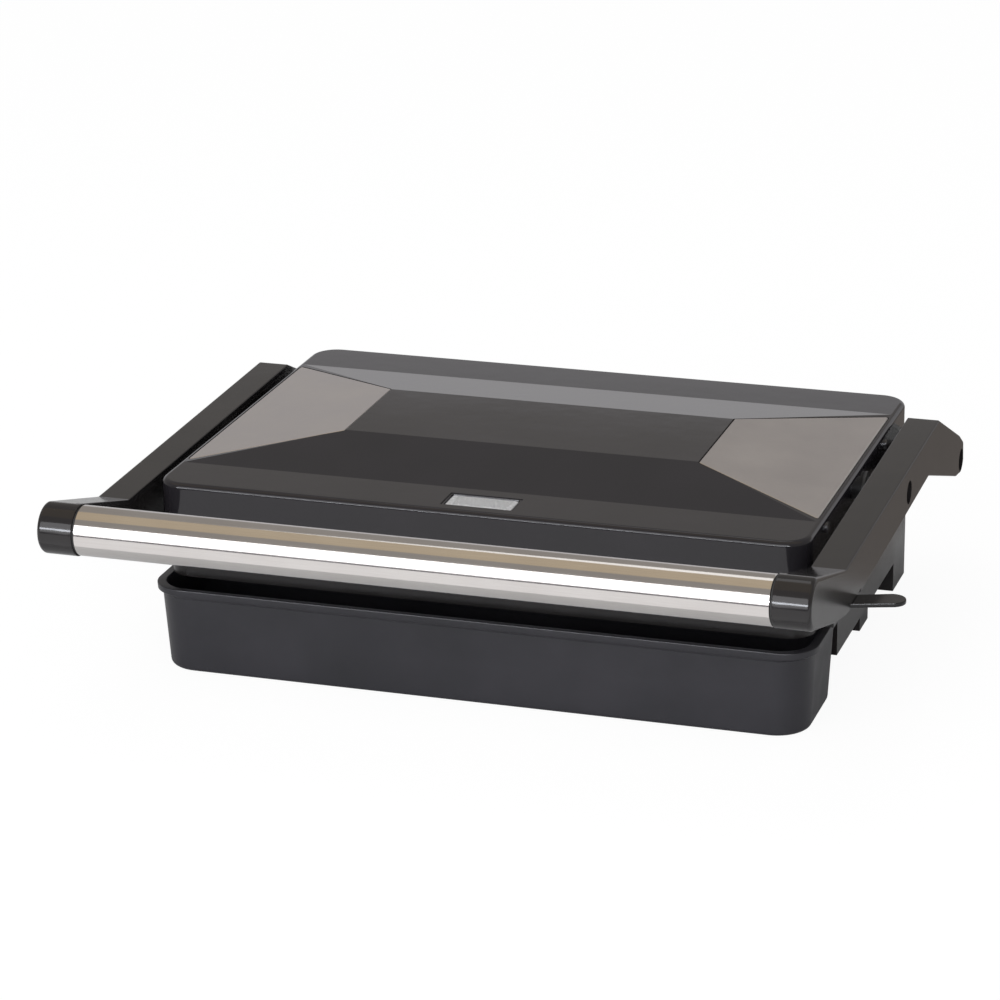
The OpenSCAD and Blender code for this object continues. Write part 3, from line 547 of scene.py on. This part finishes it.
def quarter(steps=EDGE_STEPS):
    """Sine and cosine along a quarter circle, for a rounded edge."""
    turns = [math.radians(90 * step / steps) for step in range(steps + 1)]
    return [(math.sin(turn), math.cos(turn)) for turn in turns]


print("a rounded rectangle has", len(rounded_rectangle(0, 9, 0, 9, 2)), "points")


# %% Solids
def build(name, points, faces):
    """A mesh object from points in millimetres."""
    mesh = bpy.data.meshes.new(name)
    mesh.from_pydata([tuple(v * MM for v in point) for point in points], [], faces)
    made = bpy.data.objects.new(name, mesh)
    bpy.context.scene.collection.objects.link(made)
    return made


def loft(name, rings, closed=False):
    """Joins rings of equally many points. The ends are closed, or joined to each other."""
    count = len(rings[0])
    points = [point for ring in rings for point in ring]
    faces = []
    for row in range(len(rings) - (0 if closed else 1)):
        here, there = row * count, (row + 1) % len(rings) * count
        for step in range(count):
            beyond = (step + 1) % count
            faces.append((here + step, here + beyond, there + beyond, there + step))
    if not closed:
        faces.append(tuple(range(count))[::-1])
        faces.append(tuple(range((len(rings) - 1) * count, len(rings) * count)))
    made = build(name, points, faces)
    outward(made)
    return made


def outward(piece):
    """Merges doubles and turns all faces outwards."""
    shape = bmesh.new()
    shape.from_mesh(piece.data)
    bmesh.ops.remove_doubles(shape, verts=shape.verts, dist=1e-7)
    bmesh.ops.recalc_face_normals(shape, faces=shape.faces)
    shape.to_mesh(piece.data)
    shape.free()


def prism(name, outline, x0, x1, edge0=0.0, edge1=0.0):
    """A (y, z) outline extruded along X. An edge radius may differ from point to point."""
    rings = []
    for x, edge, side in ((x0, edge0, -1), (x1, edge1, 1)):
        radii = for_each(edge, outline)
        ends = []
        for sine, cosine in quarter() if max(radii) else [(0, 1)]:
            drawn = inset_outline(outline, [radius * (1 - cosine) for radius in radii])
            ends.append([(x - side * radius * (1 - sine), y, z) for (y, z), radius in zip(drawn, radii)])
        rings += ends[::-1] if side < 0 else ends
    return loft(name, rings)


def bar(name, x0, x1, y, z, radius, edge=0.0):
    """A round bar along X."""
    return prism(name, circle(y, z, radius), x0, x1, edge, edge)


def block(name, low, high):
    """A box between two corners, used as a cutter."""
    base = [(low[0], low[1]), (high[0], low[1]), (high[0], high[1]), (low[0], high[1])]
    return loft(name, [[(x, y, z) for x, y in base] for z in (low[2], high[2])])


def combine(piece, operation, *tools):
    """Joins tools to a piece, or cuts them out of it."""
    for tool in tools:
        change = piece.modifiers.new("combine", "BOOLEAN")
        change.operation, change.solver, change.object = operation, "EXACT", tool
        bake(piece)
        bpy.data.objects.remove(tool)
    return piece


def bake(piece):
    """Turns what the modifiers show into the piece's own mesh."""
    shown = piece.evaluated_get(bpy.context.evaluated_depsgraph_get())
    old, piece.data = piece.data, bpy.data.meshes.new_from_object(shown)
    piece.modifiers.clear()
    bpy.data.meshes.remove(old)


def settle(piece, crease=32, crisp=None):
    """Shades round, but keeps edges over the crease angle, or those that crisp picks, sharp."""
    shape = bmesh.new()
    shape.from_mesh(piece.data)
    bmesh.ops.remove_doubles(shape, verts=shape.verts, dist=1e-6)
    bmesh.ops.dissolve_degenerate(shape, edges=shape.edges, dist=1e-6)
    for face in shape.faces:
        face.smooth = True
    for edge in shape.edges:
        turn = math.degrees(edge.calc_face_angle(math.pi))
        edge.smooth = turn < crease and not (crisp and crisp(edge, turn))
    shape.to_mesh(piece.data)
    shape.free()
    weigh = piece.modifiers.new("flats first", "WEIGHTED_NORMAL")
    weigh.keep_sharp, weigh.weight = True, 80
    bake(piece)


def dress(piece, body, slot, *nodes):
    """Gives a piece its finish and its body, and hides the nodes that it stands for."""
    piece.data.materials.clear()
    piece.data.materials.append(finishes[slot])
    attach(piece, body)
    if nodes:
        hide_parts(*nodes)
    print(f"{piece.name}: {len(piece.data.polygons)} faces on {body}")


# %% [markdown]
# ## The lid
#
# The real lid is one moulding: a shallow box with round corners and a rounded top edge, and on it
# a hipped roof. Its creases are crisp, and each slope mirrors another part of the room, which is
# what gives the lid its bands. It could be a bevelled box, but then the creases would be rounded
# too. Here the box is a loft with the edge's arc in it, and the roof is a second solid joined to
# it. The roof's creases are marked sharp, and the arc's aren't.

# %% Lid measures
lid_low, lid_high = span("lid_cover")
LID_CORNER, LID_EDGE, LID_WALL = 13, 2.6, 2.5
ROOF_RISE = 8.2
ROOF_FRONT_BAND, ROOF_REAR_BAND = 30, 31
ROOF_FRONT_SLOPE, ROOF_REAR_SLOPE = 41.5, 51
PLATEAU = 85
RIM = lid_high.z - ROOF_RISE
ROOF_SIDE = lid_high.x - LID_EDGE - 0.1
ROOF_Y = (lid_low.y + ROOF_FRONT_BAND, lid_low.y + ROOF_FRONT_BAND + ROOF_FRONT_SLOPE,
          lid_high.y - ROOF_REAR_BAND - ROOF_REAR_SLOPE, lid_high.y - ROOF_REAR_BAND)
SLOPE = math.atan2(ROOF_RISE, ROOF_SIDE - PLATEAU)
SLOPE_LENGTH = math.hypot(ROOF_RISE, ROOF_SIDE - PLATEAU)
print("rim at", round(RIM, 1), "mm, side slope", round(math.degrees(SLOPE), 1), "degrees")


# %% Lid shell
def lid_box(name, inset, bottom):
    """The lid's box, drawn in by the inset."""
    edge = max(LID_EDGE - inset, 0.3)
    top = RIM - inset
    heights = [(inset, bottom)]
    for sine, cosine in quarter(EDGE_STEPS + 2):
        heights.append((inset + edge * (1 - cosine), top - edge + edge * sine))
    return loft(name, [[(x, y, z) for x, y in rounded_rectangle(
        lid_low.x + draw, lid_high.x - draw, lid_low.y + draw, lid_high.y - draw, LID_CORNER - draw)]
        for draw, z in heights])


def lid_roof(name, drop):
    """The hipped roof, lowered by drop."""
    low = [(-ROOF_SIDE, ROOF_Y[0]), (ROOF_SIDE, ROOF_Y[0]), (ROOF_SIDE, ROOF_Y[3]), (-ROOF_SIDE, ROOF_Y[3])]
    high = [(-PLATEAU, ROOF_Y[1]), (PLATEAU, ROOF_Y[1]), (PLATEAU, ROOF_Y[2]), (-PLATEAU, ROOF_Y[2])]
    heights = ((low, RIM - 1.5), (low, RIM), (high, lid_high.z))
    return loft(name, [[(x, y, z - drop) for x, y in ring] for ring, z in heights])


INSET_T, INSET_JOINT, INSET_CORNER, INSET_MARGIN, INSET_FOOT = 0.8, 0.5, 0.9, 4.2, 0.3


def on_slope(along, y, lift, side):
    """A point on a side slope: along it from the inset's foot, and lifted off it."""
    up = along + INSET_FOOT
    x = ROOF_SIDE - up * math.cos(SLOPE) + lift * math.sin(SLOPE)
    return (side * x, y, RIM + up * math.sin(SLOPE) + lift * math.cos(SLOPE))


def slope_plate(name, side, low, high, grow, edge=0.0):
    """A trapezoid plate in a side slope, with round corners. low and high are off the slope."""
    corners = [(0, ROOF_Y[3] - INSET_MARGIN), (0, ROOF_Y[0] + INSET_MARGIN),
               (SLOPE_LENGTH - 1, ROOF_Y[1] - 0.4), (SLOPE_LENGTH - 1, ROOF_Y[2] + 0.4)]
    outline = round_corners(inset_outline(corners, -grow), INSET_CORNER + grow)
    rings = [[on_slope(a, y, low, side) for a, y in outline]]
    rings.append([on_slope(a, y, high - edge, side) for a, y in outline])
    if edge:
        rings.append([on_slope(a, y, high, side) for a, y in inset_outline(outline, edge)])
    return loft(name, rings)


def roof_crease(edge, turn):
    """Picks the creases of the roof, which are too shallow for the crease angle."""
    level = (RIM - 0.01) * MM
    return turn > 3 and all(face.calc_center_median().z >= level for face in edge.link_faces)


WINDOW_W, WINDOW_D = 34, 16
WINDOW_Y = lid_low.y + (ROOF_FRONT_BAND - WINDOW_D) / 2
BUSH_R = 5.58

lid = combine(lid_box("lid_shell", 0, lid_low.z), "UNION", lid_roof("roof", 0))
hollow = combine(lid_box("hollow", LID_WALL, lid_low.z - 1), "UNION", lid_roof("roof", LID_WALL))
combine(lid, "DIFFERENCE", hollow,
        slope_plate("seat", 1, -INSET_T - 0.1, 3, INSET_JOINT),
        slope_plate("seat", -1, -INSET_T - 0.1, 3, INSET_JOINT),
        block("window", (-WINDOW_W / 2, WINDOW_Y, RIM - 6), (WINDOW_W / 2, WINDOW_Y + WINDOW_D, RIM + 2)),
        bar("bore", lid_low.x - 1, lid_high.x + 1, float_axis.y, float_axis.z, BUSH_R))
settle(lid, crisp=roof_crease)
dress(lid, "lid", "lid_gloss", "lid_cover")

# %% [markdown]
# ## The steel insets
#
# Two trapezoids of brushed sheet lie flush in the side slopes, in a narrow dark joint. Their edge
# is broken by a tiny bevel, because a cut sheet always catches a thin line of light there.

# %% Insets
for side, word in ((-1, "left"), (1, "right")):
    inset = slope_plate(f"inset_{word}", side, -INSET_T, -0.01, 0, 0.2)
    settle(inset)
    dress(inset, "lid", "inset_steel", f"steel_inset_{word}")

# %% [markdown]
# ## The handle tube
#
# A drawn steel tube with a wall of 1.2 mm. It is a lathe form, so it is four circles joined into
# a closed ring: outside and inside, left and right.

# %% Tube
tube_low, tube_high = span("handle_tube")
TUBE_Y, TUBE_Z = (tube_low.y + tube_high.y) / 2, (tube_low.z + tube_high.z) / 2
TUBE_R, TUBE_WALL = (tube_high.z - tube_low.z) / 2, 1.2
TUBE_STEPS = 128


def ring_at(x, radius):
    """A circle round the tube's axis."""
    return [(x, y, z) for y, z in circle(TUBE_Y, TUBE_Z, radius, TUBE_STEPS)]


tube = loft("tube", [ring_at(tube_low.x, TUBE_R - 0.3), ring_at(tube_low.x + 0.3, TUBE_R),
                     ring_at(tube_high.x - 0.3, TUBE_R), ring_at(tube_high.x, TUBE_R - 0.3),
                     ring_at(tube_high.x, TUBE_R - TUBE_WALL), ring_at(tube_low.x, TUBE_R - TUBE_WALL)],
            closed=True)
settle(tube)
dress(tube, "handle_frame", "tube_steel", "handle_tube")

# %% [markdown]
# ## The side arms
#
# Each arm is a hollow moulding whose side view is a long bar with a knee, a round cap over the
# tube and a knuckle at the hinge. A bevelled polygon would do, but the moulding has a large radius
# round the cap and a small one along the bar, so the edge radius here changes from point to
# point. The right arm is cut out for the lock lever. The left one is a mirror image without the
# cut-out, and its faces are turned outwards again, because mirroring turns them in.

# %% Arm outline
arm_low, arm_high = span("arm_right")
ARM_IN, ARM_OUT = span("arm_cover_right")[0].x, arm_high.x
CAP_R = arm_high.z - TUBE_Z
KNEE_Z, ARM_H, ARM_RISE = RIM - 3.7, 22, 3.2
LOW_Z = KNEE_Z - ARM_H
KNUCKLE_R = hinge_axis.z - arm_low.z
ARM_WALL, COVER_T, RING_T = 2.5, 2.0, 0.8
CAP_EDGE, ARM_EDGE, EDGE_FADE = 2.2, 0.9, 24


def arm_outline(rounded=True):
    """The arm in (y, z), counter-clockwise from the top of the cap, in steps from lid and hinge."""
    cap = arc(TUBE_Y, TUBE_Z, CAP_R, 84, 262, 30)
    under = [(lid_low.y - 33, LOW_Z + 4.2), (lid_low.y - 12, LOW_Z), (lid_low.y + 6, LOW_Z),
             (lid_high.y - 54, LOW_Z + ARM_RISE + 1.4),
             (hinge_axis.y - 10, hinge_axis.z - KNUCKLE_R + 1.4)]
    knuckle = arc(hinge_axis.y, hinge_axis.z, KNUCKLE_R, -112, -40, 5)
    over = [(hinge_axis.y + 7.0, hinge_axis.z - 2), (hinge_axis.y + 5.8, hinge_axis.z + 7.8),
            (hinge_axis.y - 4.5, hinge_axis.z + KNUCKLE_R + 7.3),
            (lid_high.y - 32, KNEE_Z + ARM_RISE), (lid_low.y - 16, KNEE_Z)]
    if not rounded:
        return cap + under + knuckle + over
    radii = [0] + [8, 3, 6, 4, 3] + [0] * len(knuckle) + [2, 3, 4.5, 2.5, 1.2] + [0]
    return cap + round_corners(cap[-1:] + under + knuckle + over + cap[:1], radii)[1:-1]


def edge_radius(y):
    """The cap's large edge radius, which fades to the bar's small one behind the cap."""
    near = (TUBE_Y + EDGE_FADE + 2 - y) / EDGE_FADE
    return ARM_EDGE + (CAP_EDGE - ARM_EDGE) * min(max(near, 0), 1)


OUTLINE = arm_outline()
edge_radii = [edge_radius(y) for y, z in OUTLINE]
print("the arm's outline has", len(OUTLINE), "points, its cap a radius of", round(CAP_R, 2))


# %% Arms
WELL_R, WELL_FLOOR, BOLT_BORE, HINGE_BORE = 5.5, ARM_OUT - 6, 4.05, 5.1


def arm_body(name):
    """One arm on the right side, with its cover's recess, its wells and its cap."""
    made = prism(name, OUTLINE, ARM_IN, ARM_OUT, 0.5, edge_radii)
    combine(made, "UNION", bar("cap", tube_high.x + RING_T, ARM_IN + 2, TUBE_Y, TUBE_Z, CAP_R, 0.4))
    drawn_in = inset_outline(arm_outline(rounded=False), ARM_WALL)
    reach = block("reach", (0, TUBE_Y + CAP_R + 4, 0), (300, hinge_axis.y - 26, 200))
    recess = combine(prism("recess", drawn_in, ARM_IN - 1, ARM_IN + COVER_T + 0.1), "INTERSECT", reach)
    combine(made, "DIFFERENCE", recess)
    for axis, bore, stop in ((float_axis, BOLT_BORE, ARM_OUT + 1),
                             (hinge_axis, HINGE_BORE, WELL_FLOOR + 1)):
        combine(made, "DIFFERENCE", bar("bore", ARM_IN - 1, stop, axis.y, axis.z, bore),
                bar("well", WELL_FLOOR, ARM_OUT + 1, axis.y, axis.z, WELL_R))
    return made


def mirror_left(piece):
    """Mirrors a mesh to the left side and turns its faces outwards again."""
    for point in piece.data.vertices:
        point.co.x = -point.co.x
    outward(piece)
    return piece


# %% Left and right arm
LEVER_T, LEVER_UNDER, LEVER_OVER = 2.0, 2.0, 2.5
MOUTH_FRONT, MOUTH_LENGTH, SWEEP_REACH = 7.5, 23.1, 34
arm_left = mirror_left(arm_body("arm_left_shell"))
arm_right = arm_body("arm_right_shell")
lever_z = span("lock_lever")[1].z - LEVER_T
mouth_y = lid_low.y - MOUTH_FRONT
sweep = block("sweep", (ARM_IN - 3, mouth_y - 1, lever_z - LEVER_UNDER),
              (ARM_OUT - ARM_WALL, lid_low.y + SWEEP_REACH, lever_z + LEVER_OVER))
mouth = block("mouth", (ARM_IN + 5, mouth_y, lever_z - LEVER_UNDER),
              (ARM_OUT + 5, mouth_y + MOUTH_LENGTH, lever_z + LEVER_OVER))
combine(arm_right, "DIFFERENCE", sweep, mouth)
for arm, node in ((arm_left, "arm_left"), (arm_right, "arm_right")):
    settle(arm, crease=24)
    dress(arm, "handle_frame", "arm_gloss", node)

# %% [markdown]
# ## The drip tray
#
# A deep pan with leaning walls and a rim lip that stands out at the sides, where fingers pull it.
# It is one loft that runs up the outside, over the lip and down the inside, so the wall has its
# real thickness everywhere and every edge its radius.

# %% Tray
tray_high = span("drip_tray")[1]
TRAY_H, TRAY_WALL, TRAY_R = tray_high.z, 2.2, 16
LIP_OUT, LIP_FRONT, LIP_T, LIP_R = 2.0, 1.0, 3.0, 0.5
FOOT_R, FLOOR_R = 2.2, 3.0
FLARE, LEAN = 2.0, 2.5
FOOT_X, FOOT_Y = tray_high.x - LIP_OUT - FLARE, tray_high.y - LIP_FRONT - LEAN


def tray_ring(z, out_x, out_y, corner=TRAY_R):
    """The tray's outline at a height: it leans out, and out_x and out_y move it further."""
    share = z / TRAY_H
    half_x, half_y = FOOT_X + FLARE * share + out_x, FOOT_Y + LEAN * share + out_y
    return [(x, y, z) for x, y in rounded_rectangle(-half_x, half_x, -half_y, half_y, corner)]


def drawn_ring(z, draw):
    """The tray's outline at a height, drawn in all round."""
    return tray_ring(z, -draw, -draw, TRAY_R - draw)


def tray_rings():
    """Outside from the foot up, over the lip, and down the inside."""
    rings = [drawn_ring(FOOT_R * (1 - cosine), FOOT_R * (1 - sine)) for sine, cosine in quarter()]
    under = TRAY_H - LIP_T
    for z, share in ((under - 1.6, 0.0), (under - 0.3, 0.85), (under, 1.0), (TRAY_H - LIP_R, 1.0)):
        rings.append(tray_ring(z, LIP_OUT * share, LIP_FRONT * share))
    for z, draw in ((TRAY_H - 0.15, 0.15), (TRAY_H, LIP_R)):
        rings.append(tray_ring(z, LIP_OUT - draw, LIP_FRONT - draw, TRAY_R - draw))
    rings += [drawn_ring(TRAY_H, TRAY_WALL - 0.3), drawn_ring(TRAY_H - 0.4, TRAY_WALL)]
    for sine, cosine in quarter():
        rings.append(drawn_ring(TRAY_WALL + FLOOR_R * (1 - sine), TRAY_WALL + FLOOR_R * (1 - cosine)))
    return rings


tray = loft("tray", tray_rings())
settle(tray)
dress(tray, "drip_tray", "tray_satin", "drip_tray")

# %% [markdown]
# ## Ribs by Geometry Nodes
#
# The lens has fine ribs and each cooking plate has searing ribs: one bar, set side by side at an
# even pitch. That is a rule, so one node tree makes all of them: a line of points, a bar instanced
# on each, and the instances made real. Its inputs are the count, the pitch and the start.


# %% Row of bars
def row_tree(bar_piece, material):
    """A node tree that sets copies of a bar side by side along X."""
    tree = bpy.data.node_groups.new("row_of_bars", "GeometryNodeTree")
    tree.interface.new_socket("Geometry", in_out="OUTPUT", socket_type="NodeSocketGeometry")
    sockets = {}
    for name, kind in (("Count", "Int"), ("Pitch", "Float"), ("Start", "Vector")):
        socket = tree.interface.new_socket(name, in_out="INPUT", socket_type="NodeSocket" + kind)
        sockets[name] = socket.identifier
    made = {name: tree.nodes.new(kind) for name, kind in (
        ("inputs", "NodeGroupInput"), ("outputs", "NodeGroupOutput"), ("line", "GeometryNodeMeshLine"),
        ("step", "ShaderNodeCombineXYZ"), ("bar", "GeometryNodeObjectInfo"),
        ("copies", "GeometryNodeInstanceOnPoints"), ("real", "GeometryNodeRealizeInstances"),
        ("paint", "GeometryNodeSetMaterial"))}
    made["line"].mode = "OFFSET"
    made["bar"].inputs["Object"].default_value = bar_piece
    made["paint"].inputs["Material"].default_value = material
    for source, output, target, socket in (
            ("inputs", "Count", "line", "Count"), ("inputs", "Start", "line", "Start Location"),
            ("inputs", "Pitch", "step", "X"), ("step", "Vector", "line", "Offset"),
            ("line", "Mesh", "copies", "Points"), ("bar", "Geometry", "copies", "Instance"),
            ("copies", "Instances", "real", "Geometry"), ("real", "Geometry", "paint", "Geometry"),
            ("paint", "Geometry", "outputs", "Geometry")):
        tree.links.new(made[source].outputs[output], made[target].inputs[socket])
    return tree, sockets


def row_of_bars(name, bar_piece, material, count, pitch, start):
    """The row as a plain mesh. pitch and start are in millimetres."""
    tree, sockets = row_tree(bar_piece, material)
    made = build(name, [(0, 0, 0)], [])
    row = made.modifiers.new("row", "NODES")
    row.node_group = tree
    row[sockets["Count"]] = count
    row[sockets["Pitch"]] = pitch * MM
    row[sockets["Start"]] = [v * MM for v in start]
    bake(made)
    bpy.data.objects.remove(bar_piece)
    print(f"{name}: {count} bars, {pitch} mm apart")
    return made


def joined(piece, *others):
    """Adds the meshes of others to a piece, as they are."""
    shape = bmesh.new()
    shape.from_mesh(piece.data)
    for other in others:
        shape.from_mesh(other.data)
        bpy.data.objects.remove(other)
    shape.to_mesh(piece.data)
    shape.free()
    return piece


# %% [markdown]
# ## The lamp window
#
# A frosted acrylic lens with fine ribs sits in a thin dark bezel, and a small round stud shows at
# its right end. A bump would do from afar, but the exported model has no bump in its shape, so
# the ribs stand on the plate as real half-round bars.

# %% Bezel
bezel_low, bezel_high = span("lamp_bezel")
BEZEL_TOP, LEDGE_Z = RIM - 0.25, RIM - 3.9


def window_ring(z, draw, corner):
    """The window's outline at a height, drawn in."""
    return [(x, y, z) for x, y in rounded_rectangle(
        bezel_low.x + draw, bezel_high.x - draw, bezel_low.y + draw, bezel_high.y - draw, corner, 4)]


BEZEL_SECTION = ((bezel_low.z, 0), (RIM - 0.5, 0), (BEZEL_TOP, 0.25), (BEZEL_TOP, 0.8), (RIM - 0.9, 1.1),
                 (LEDGE_Z, 1.2), (LEDGE_Z, 4), (bezel_low.z, 4))
bezel = loft("bezel", [window_ring(z, draw, 1.0) for z, draw in BEZEL_SECTION], closed=True)
settle(bezel)
dress(bezel, "lid", "lid_gloss", "lamp_bezel")

# %% Lens
LENS_GAP, LENS_RIB_R, LENS_RIBS, LENS_RIB_PITCH, LENS_END, LENS_SIDE = 1.4, 0.42, 26, 1.0, 3.0, 1.2
STUD_R, STUD_H = 1.1, 0.25
PLATE_TOP = RIM - 0.25 - LENS_RIB_R * 0.7
lens_low, lens_high = bezel_low.x + LENS_GAP, bezel_high.x - LENS_GAP
lens_y0, lens_y1 = bezel_low.y + LENS_GAP, bezel_high.y - LENS_GAP
lens_plate = loft("lens", [window_ring(z, LENS_GAP + draw, 1.2) for z, draw in
                           ((RIM - 3.8, 0), (PLATE_TOP - 0.3, 0), (PLATE_TOP, 0.3))])
half_round = arc(0, 0, LENS_RIB_R, 0, 180, 6)
rib = loft("rib", [[(x, y, z) for x, z in half_round] for y in (0, lens_y1 - lens_y0 - 2 * LENS_SIDE)])
ribs = row_of_bars("lens_ribs", rib, finishes["lens_clear"], LENS_RIBS, LENS_RIB_PITCH,
                   (lens_low + LENS_END, lens_y0 + LENS_SIDE, PLATE_TOP - 0.05))
stud_middle = (lens_high - 1.8, (lens_y0 + lens_y1) / 2)
stud = loft("stud", [[(x, y, PLATE_TOP + up) for x, y in circle(*stud_middle, radius, 20)] for radius, up in
                     ((STUD_R, -0.05), (STUD_R, STUD_H - 0.1), (STUD_R - 0.3, STUD_H))])
joined(lens_plate, ribs, stud)
settle(lens_plate, crease=40)
dress(lens_plate, "lid", "lens_clear", "lamp_lens")

# %% [markdown]
# ## The cooking plates
#
# Cast aluminium with a dark coat: a floor with a raised rim and rounded corners, and searing ribs
# with round tops. Each casting is a loft over its section, and its ribs are a row of bars. Grease
# runs between the ribs of the lower plate to the drain over the tray.


# %% Plate castings
PLATE_RIM, PLATE_R, PLATE_FLOOR = 5, 12, 3


def plate_casting(name, low, high, face, back, sign):
    """A tray-like casting from its back to its rim's face. sign is 1 where the face is up."""
    floor = back + sign * PLATE_FLOOR
    section = ((back, 1.0), (back + sign, 0), (face - sign * 0.8, 0), (face - sign * 0.2, 0.3), (face, 0.9),
               (face, PLATE_RIM - 1.2), (face - sign * 0.8, PLATE_RIM - 0.3),
               (floor + sign * 1.2, PLATE_RIM + 0.1), (floor, PLATE_RIM + 1.4))
    return loft(name, [[(x, y, z) for x, y in rounded_rectangle(
        low.x + draw, high.x - draw, low.y + draw, high.y - draw, PLATE_R - draw, 8)]
        for z, draw in section])


# %% Searing ribs
RIB_W, RIB_H, RIB_STEP, RIB_COUNT = 4.4, 3, 11.6, 23
RIB_FRONT, RIB_BACK, RIB_ROOT = PLATE_RIM + 11, PLATE_RIM + 6, -0.3


def plate_ribs(name, low, high, floor, sign):
    """The ribs between the rims, with round tops and ends that slope down."""
    half = [(RIB_W / 2, RIB_ROOT), (RIB_W / 2, 0), (RIB_W / 3.2, RIB_H * 0.72), (RIB_W / 6, RIB_H * 0.97)]
    profile = [(-RIB_W / 2, RIB_ROOT), *half, (0, RIB_H)] + [(-x, z) for x, z in half[:0:-1]]
    y0, y1 = low.y + RIB_FRONT, high.y - RIB_BACK
    sections = ((y0, 0.3), (y0 + 1, 0.8), (y0 + 3, 1), (y1 - 3, 1), (y1 - 1, 0.8), (y1, 0.3))
    rib = loft("rib", [[(x * (0.6 + 0.4 * tall), y, sign * z * tall) for x, z in profile]
                       for y, tall in sections])
    start = (-(RIB_COUNT - 1) / 2 * RIB_STEP, 0, floor)
    return row_of_bars(name, rib, finishes["plate_coat"], RIB_COUNT, RIB_STEP, start)


# %% Lower and upper plate
SEAT_DEPTH, UPPER_DEPTH = 5.5, 4.5
SPOUT_HALF, SPOUT_DEPTH, DRAIN_HALF, DRAIN_EDGE = 12.5, 10, 11, 1.5


def cooking_plate(name, node, face_up, face, back):
    """The casting and the row of ribs for one plate."""
    low, high = span(node)
    sign = 1 if face_up else -1
    casting = plate_casting(name, low, high, face, back, sign)
    return casting, plate_ribs(name + "_ribs", low, high, back + sign * PLATE_FLOOR, sign)


lower_low, lower_high = span("lower_plate")
upper_face = span("upper_plate")[0].z
housing_top = span("base_housing")[1].z
LOWER_BACK, UPPER_BACK = housing_top - SEAT_DEPTH, upper_face + UPPER_DEPTH + PLATE_FLOOR
spout_y = lower_low.y + PLATE_RIM + 0.5
lower, lower_ribs = cooking_plate("lower_plate_casting", "lower_plate", True, lower_high.z, LOWER_BACK)
combine(lower, "UNION", block("spout", (-SPOUT_HALF, spout_y, lower_low.z),
                              (SPOUT_HALF, spout_y + SPOUT_DEPTH, LOWER_BACK + 1)))
combine(lower, "DIFFERENCE", block("drain", (-DRAIN_HALF, spout_y + DRAIN_EDGE, lower_low.z - 1),
                                   (DRAIN_HALF, spout_y + SPOUT_DEPTH - DRAIN_EDGE, housing_top)))
upper, upper_ribs = cooking_plate("upper_plate_casting", "upper_plate", False, upper_face, UPPER_BACK)
for plate, ribs, body, node in ((lower, lower_ribs, "base", "lower_plate"),
                                (upper, upper_ribs, "lid", "upper_plate")):
    joined(plate, ribs)
    settle(plate, crease=38)
    dress(plate, body, "plate_coat", node)

# %% [markdown]
# ## Softer edges on the small mouldings
#
# No moulding has a knife edge, and a sharp edge never catches light. Some rigid pieces of the
# frame have the right shape but sharp edges. Each of those listed below gets a merged copy with a small
# bevel.


# %% Bevelled copies
MERGE, FLAT, BEVEL_FROM = 2e-6, math.radians(1), math.radians(35)


def softened(node, width):
    """A merged copy of a node's mesh with bevelled edges. width is in millimetres."""
    source = frame["nodes"][node]
    made = bpy.data.objects.new(node + "_part", source.data.copy())
    bpy.context.scene.collection.objects.link(made)
    shape = bmesh.new()
    shape.from_mesh(made.data)
    bmesh.ops.remove_doubles(shape, verts=shape.verts, dist=MERGE)
    bmesh.ops.dissolve_limit(shape, angle_limit=FLAT, verts=shape.verts, edges=shape.edges)
    shape.to_mesh(made.data)
    shape.free()
    bevel = made.modifiers.new("edges", "BEVEL")
    bevel.width, bevel.segments, bevel.limit_method = width * MM, 2, "ANGLE"
    bevel.angle_limit, bevel.use_clamp_overlap = BEVEL_FROM, True
    bake(made)
    settle(made, crease=40)
    return made


slots = {piece["node"]: piece["material_slot"] for piece in frame["record"]["subparts"]}
bodies = frame["record"]["behaviour"]["bodies"]
homes = {node: body for body, nodes in bodies.items() for node in nodes}
SOFT_EDGES = {"base_housing": 0.8, "base_back": 0.4, "base_cover": 0.5, "lock_lever": 0.6,
              "cord_bushing": 0.6, "foot_pads": 0.2, "arm_cover_left": 0.3, "arm_cover_right": 0.3,
              "thermostat": 0.5, "terminal_block": 0.5, "handle_ring_left": 0.1, "handle_ring_right": 0.1}
for node, width in SOFT_EDGES.items():
    dress(softened(node, width), homes[node], slots[node], node)

# %% [markdown]
# ## The remaining pieces of the frame
#
# What is right as it is keeps its own mesh and gets its finish here.

# %% Finishes for carried-over nodes
for node, piece in frame["nodes"].items():
    if piece.hide_render:
        continue
    piece.data.materials.clear()
    piece.data.materials.append(finishes[slots[node]])
print("carried over:", sum(not piece.hide_render for piece in frame["nodes"].values()))
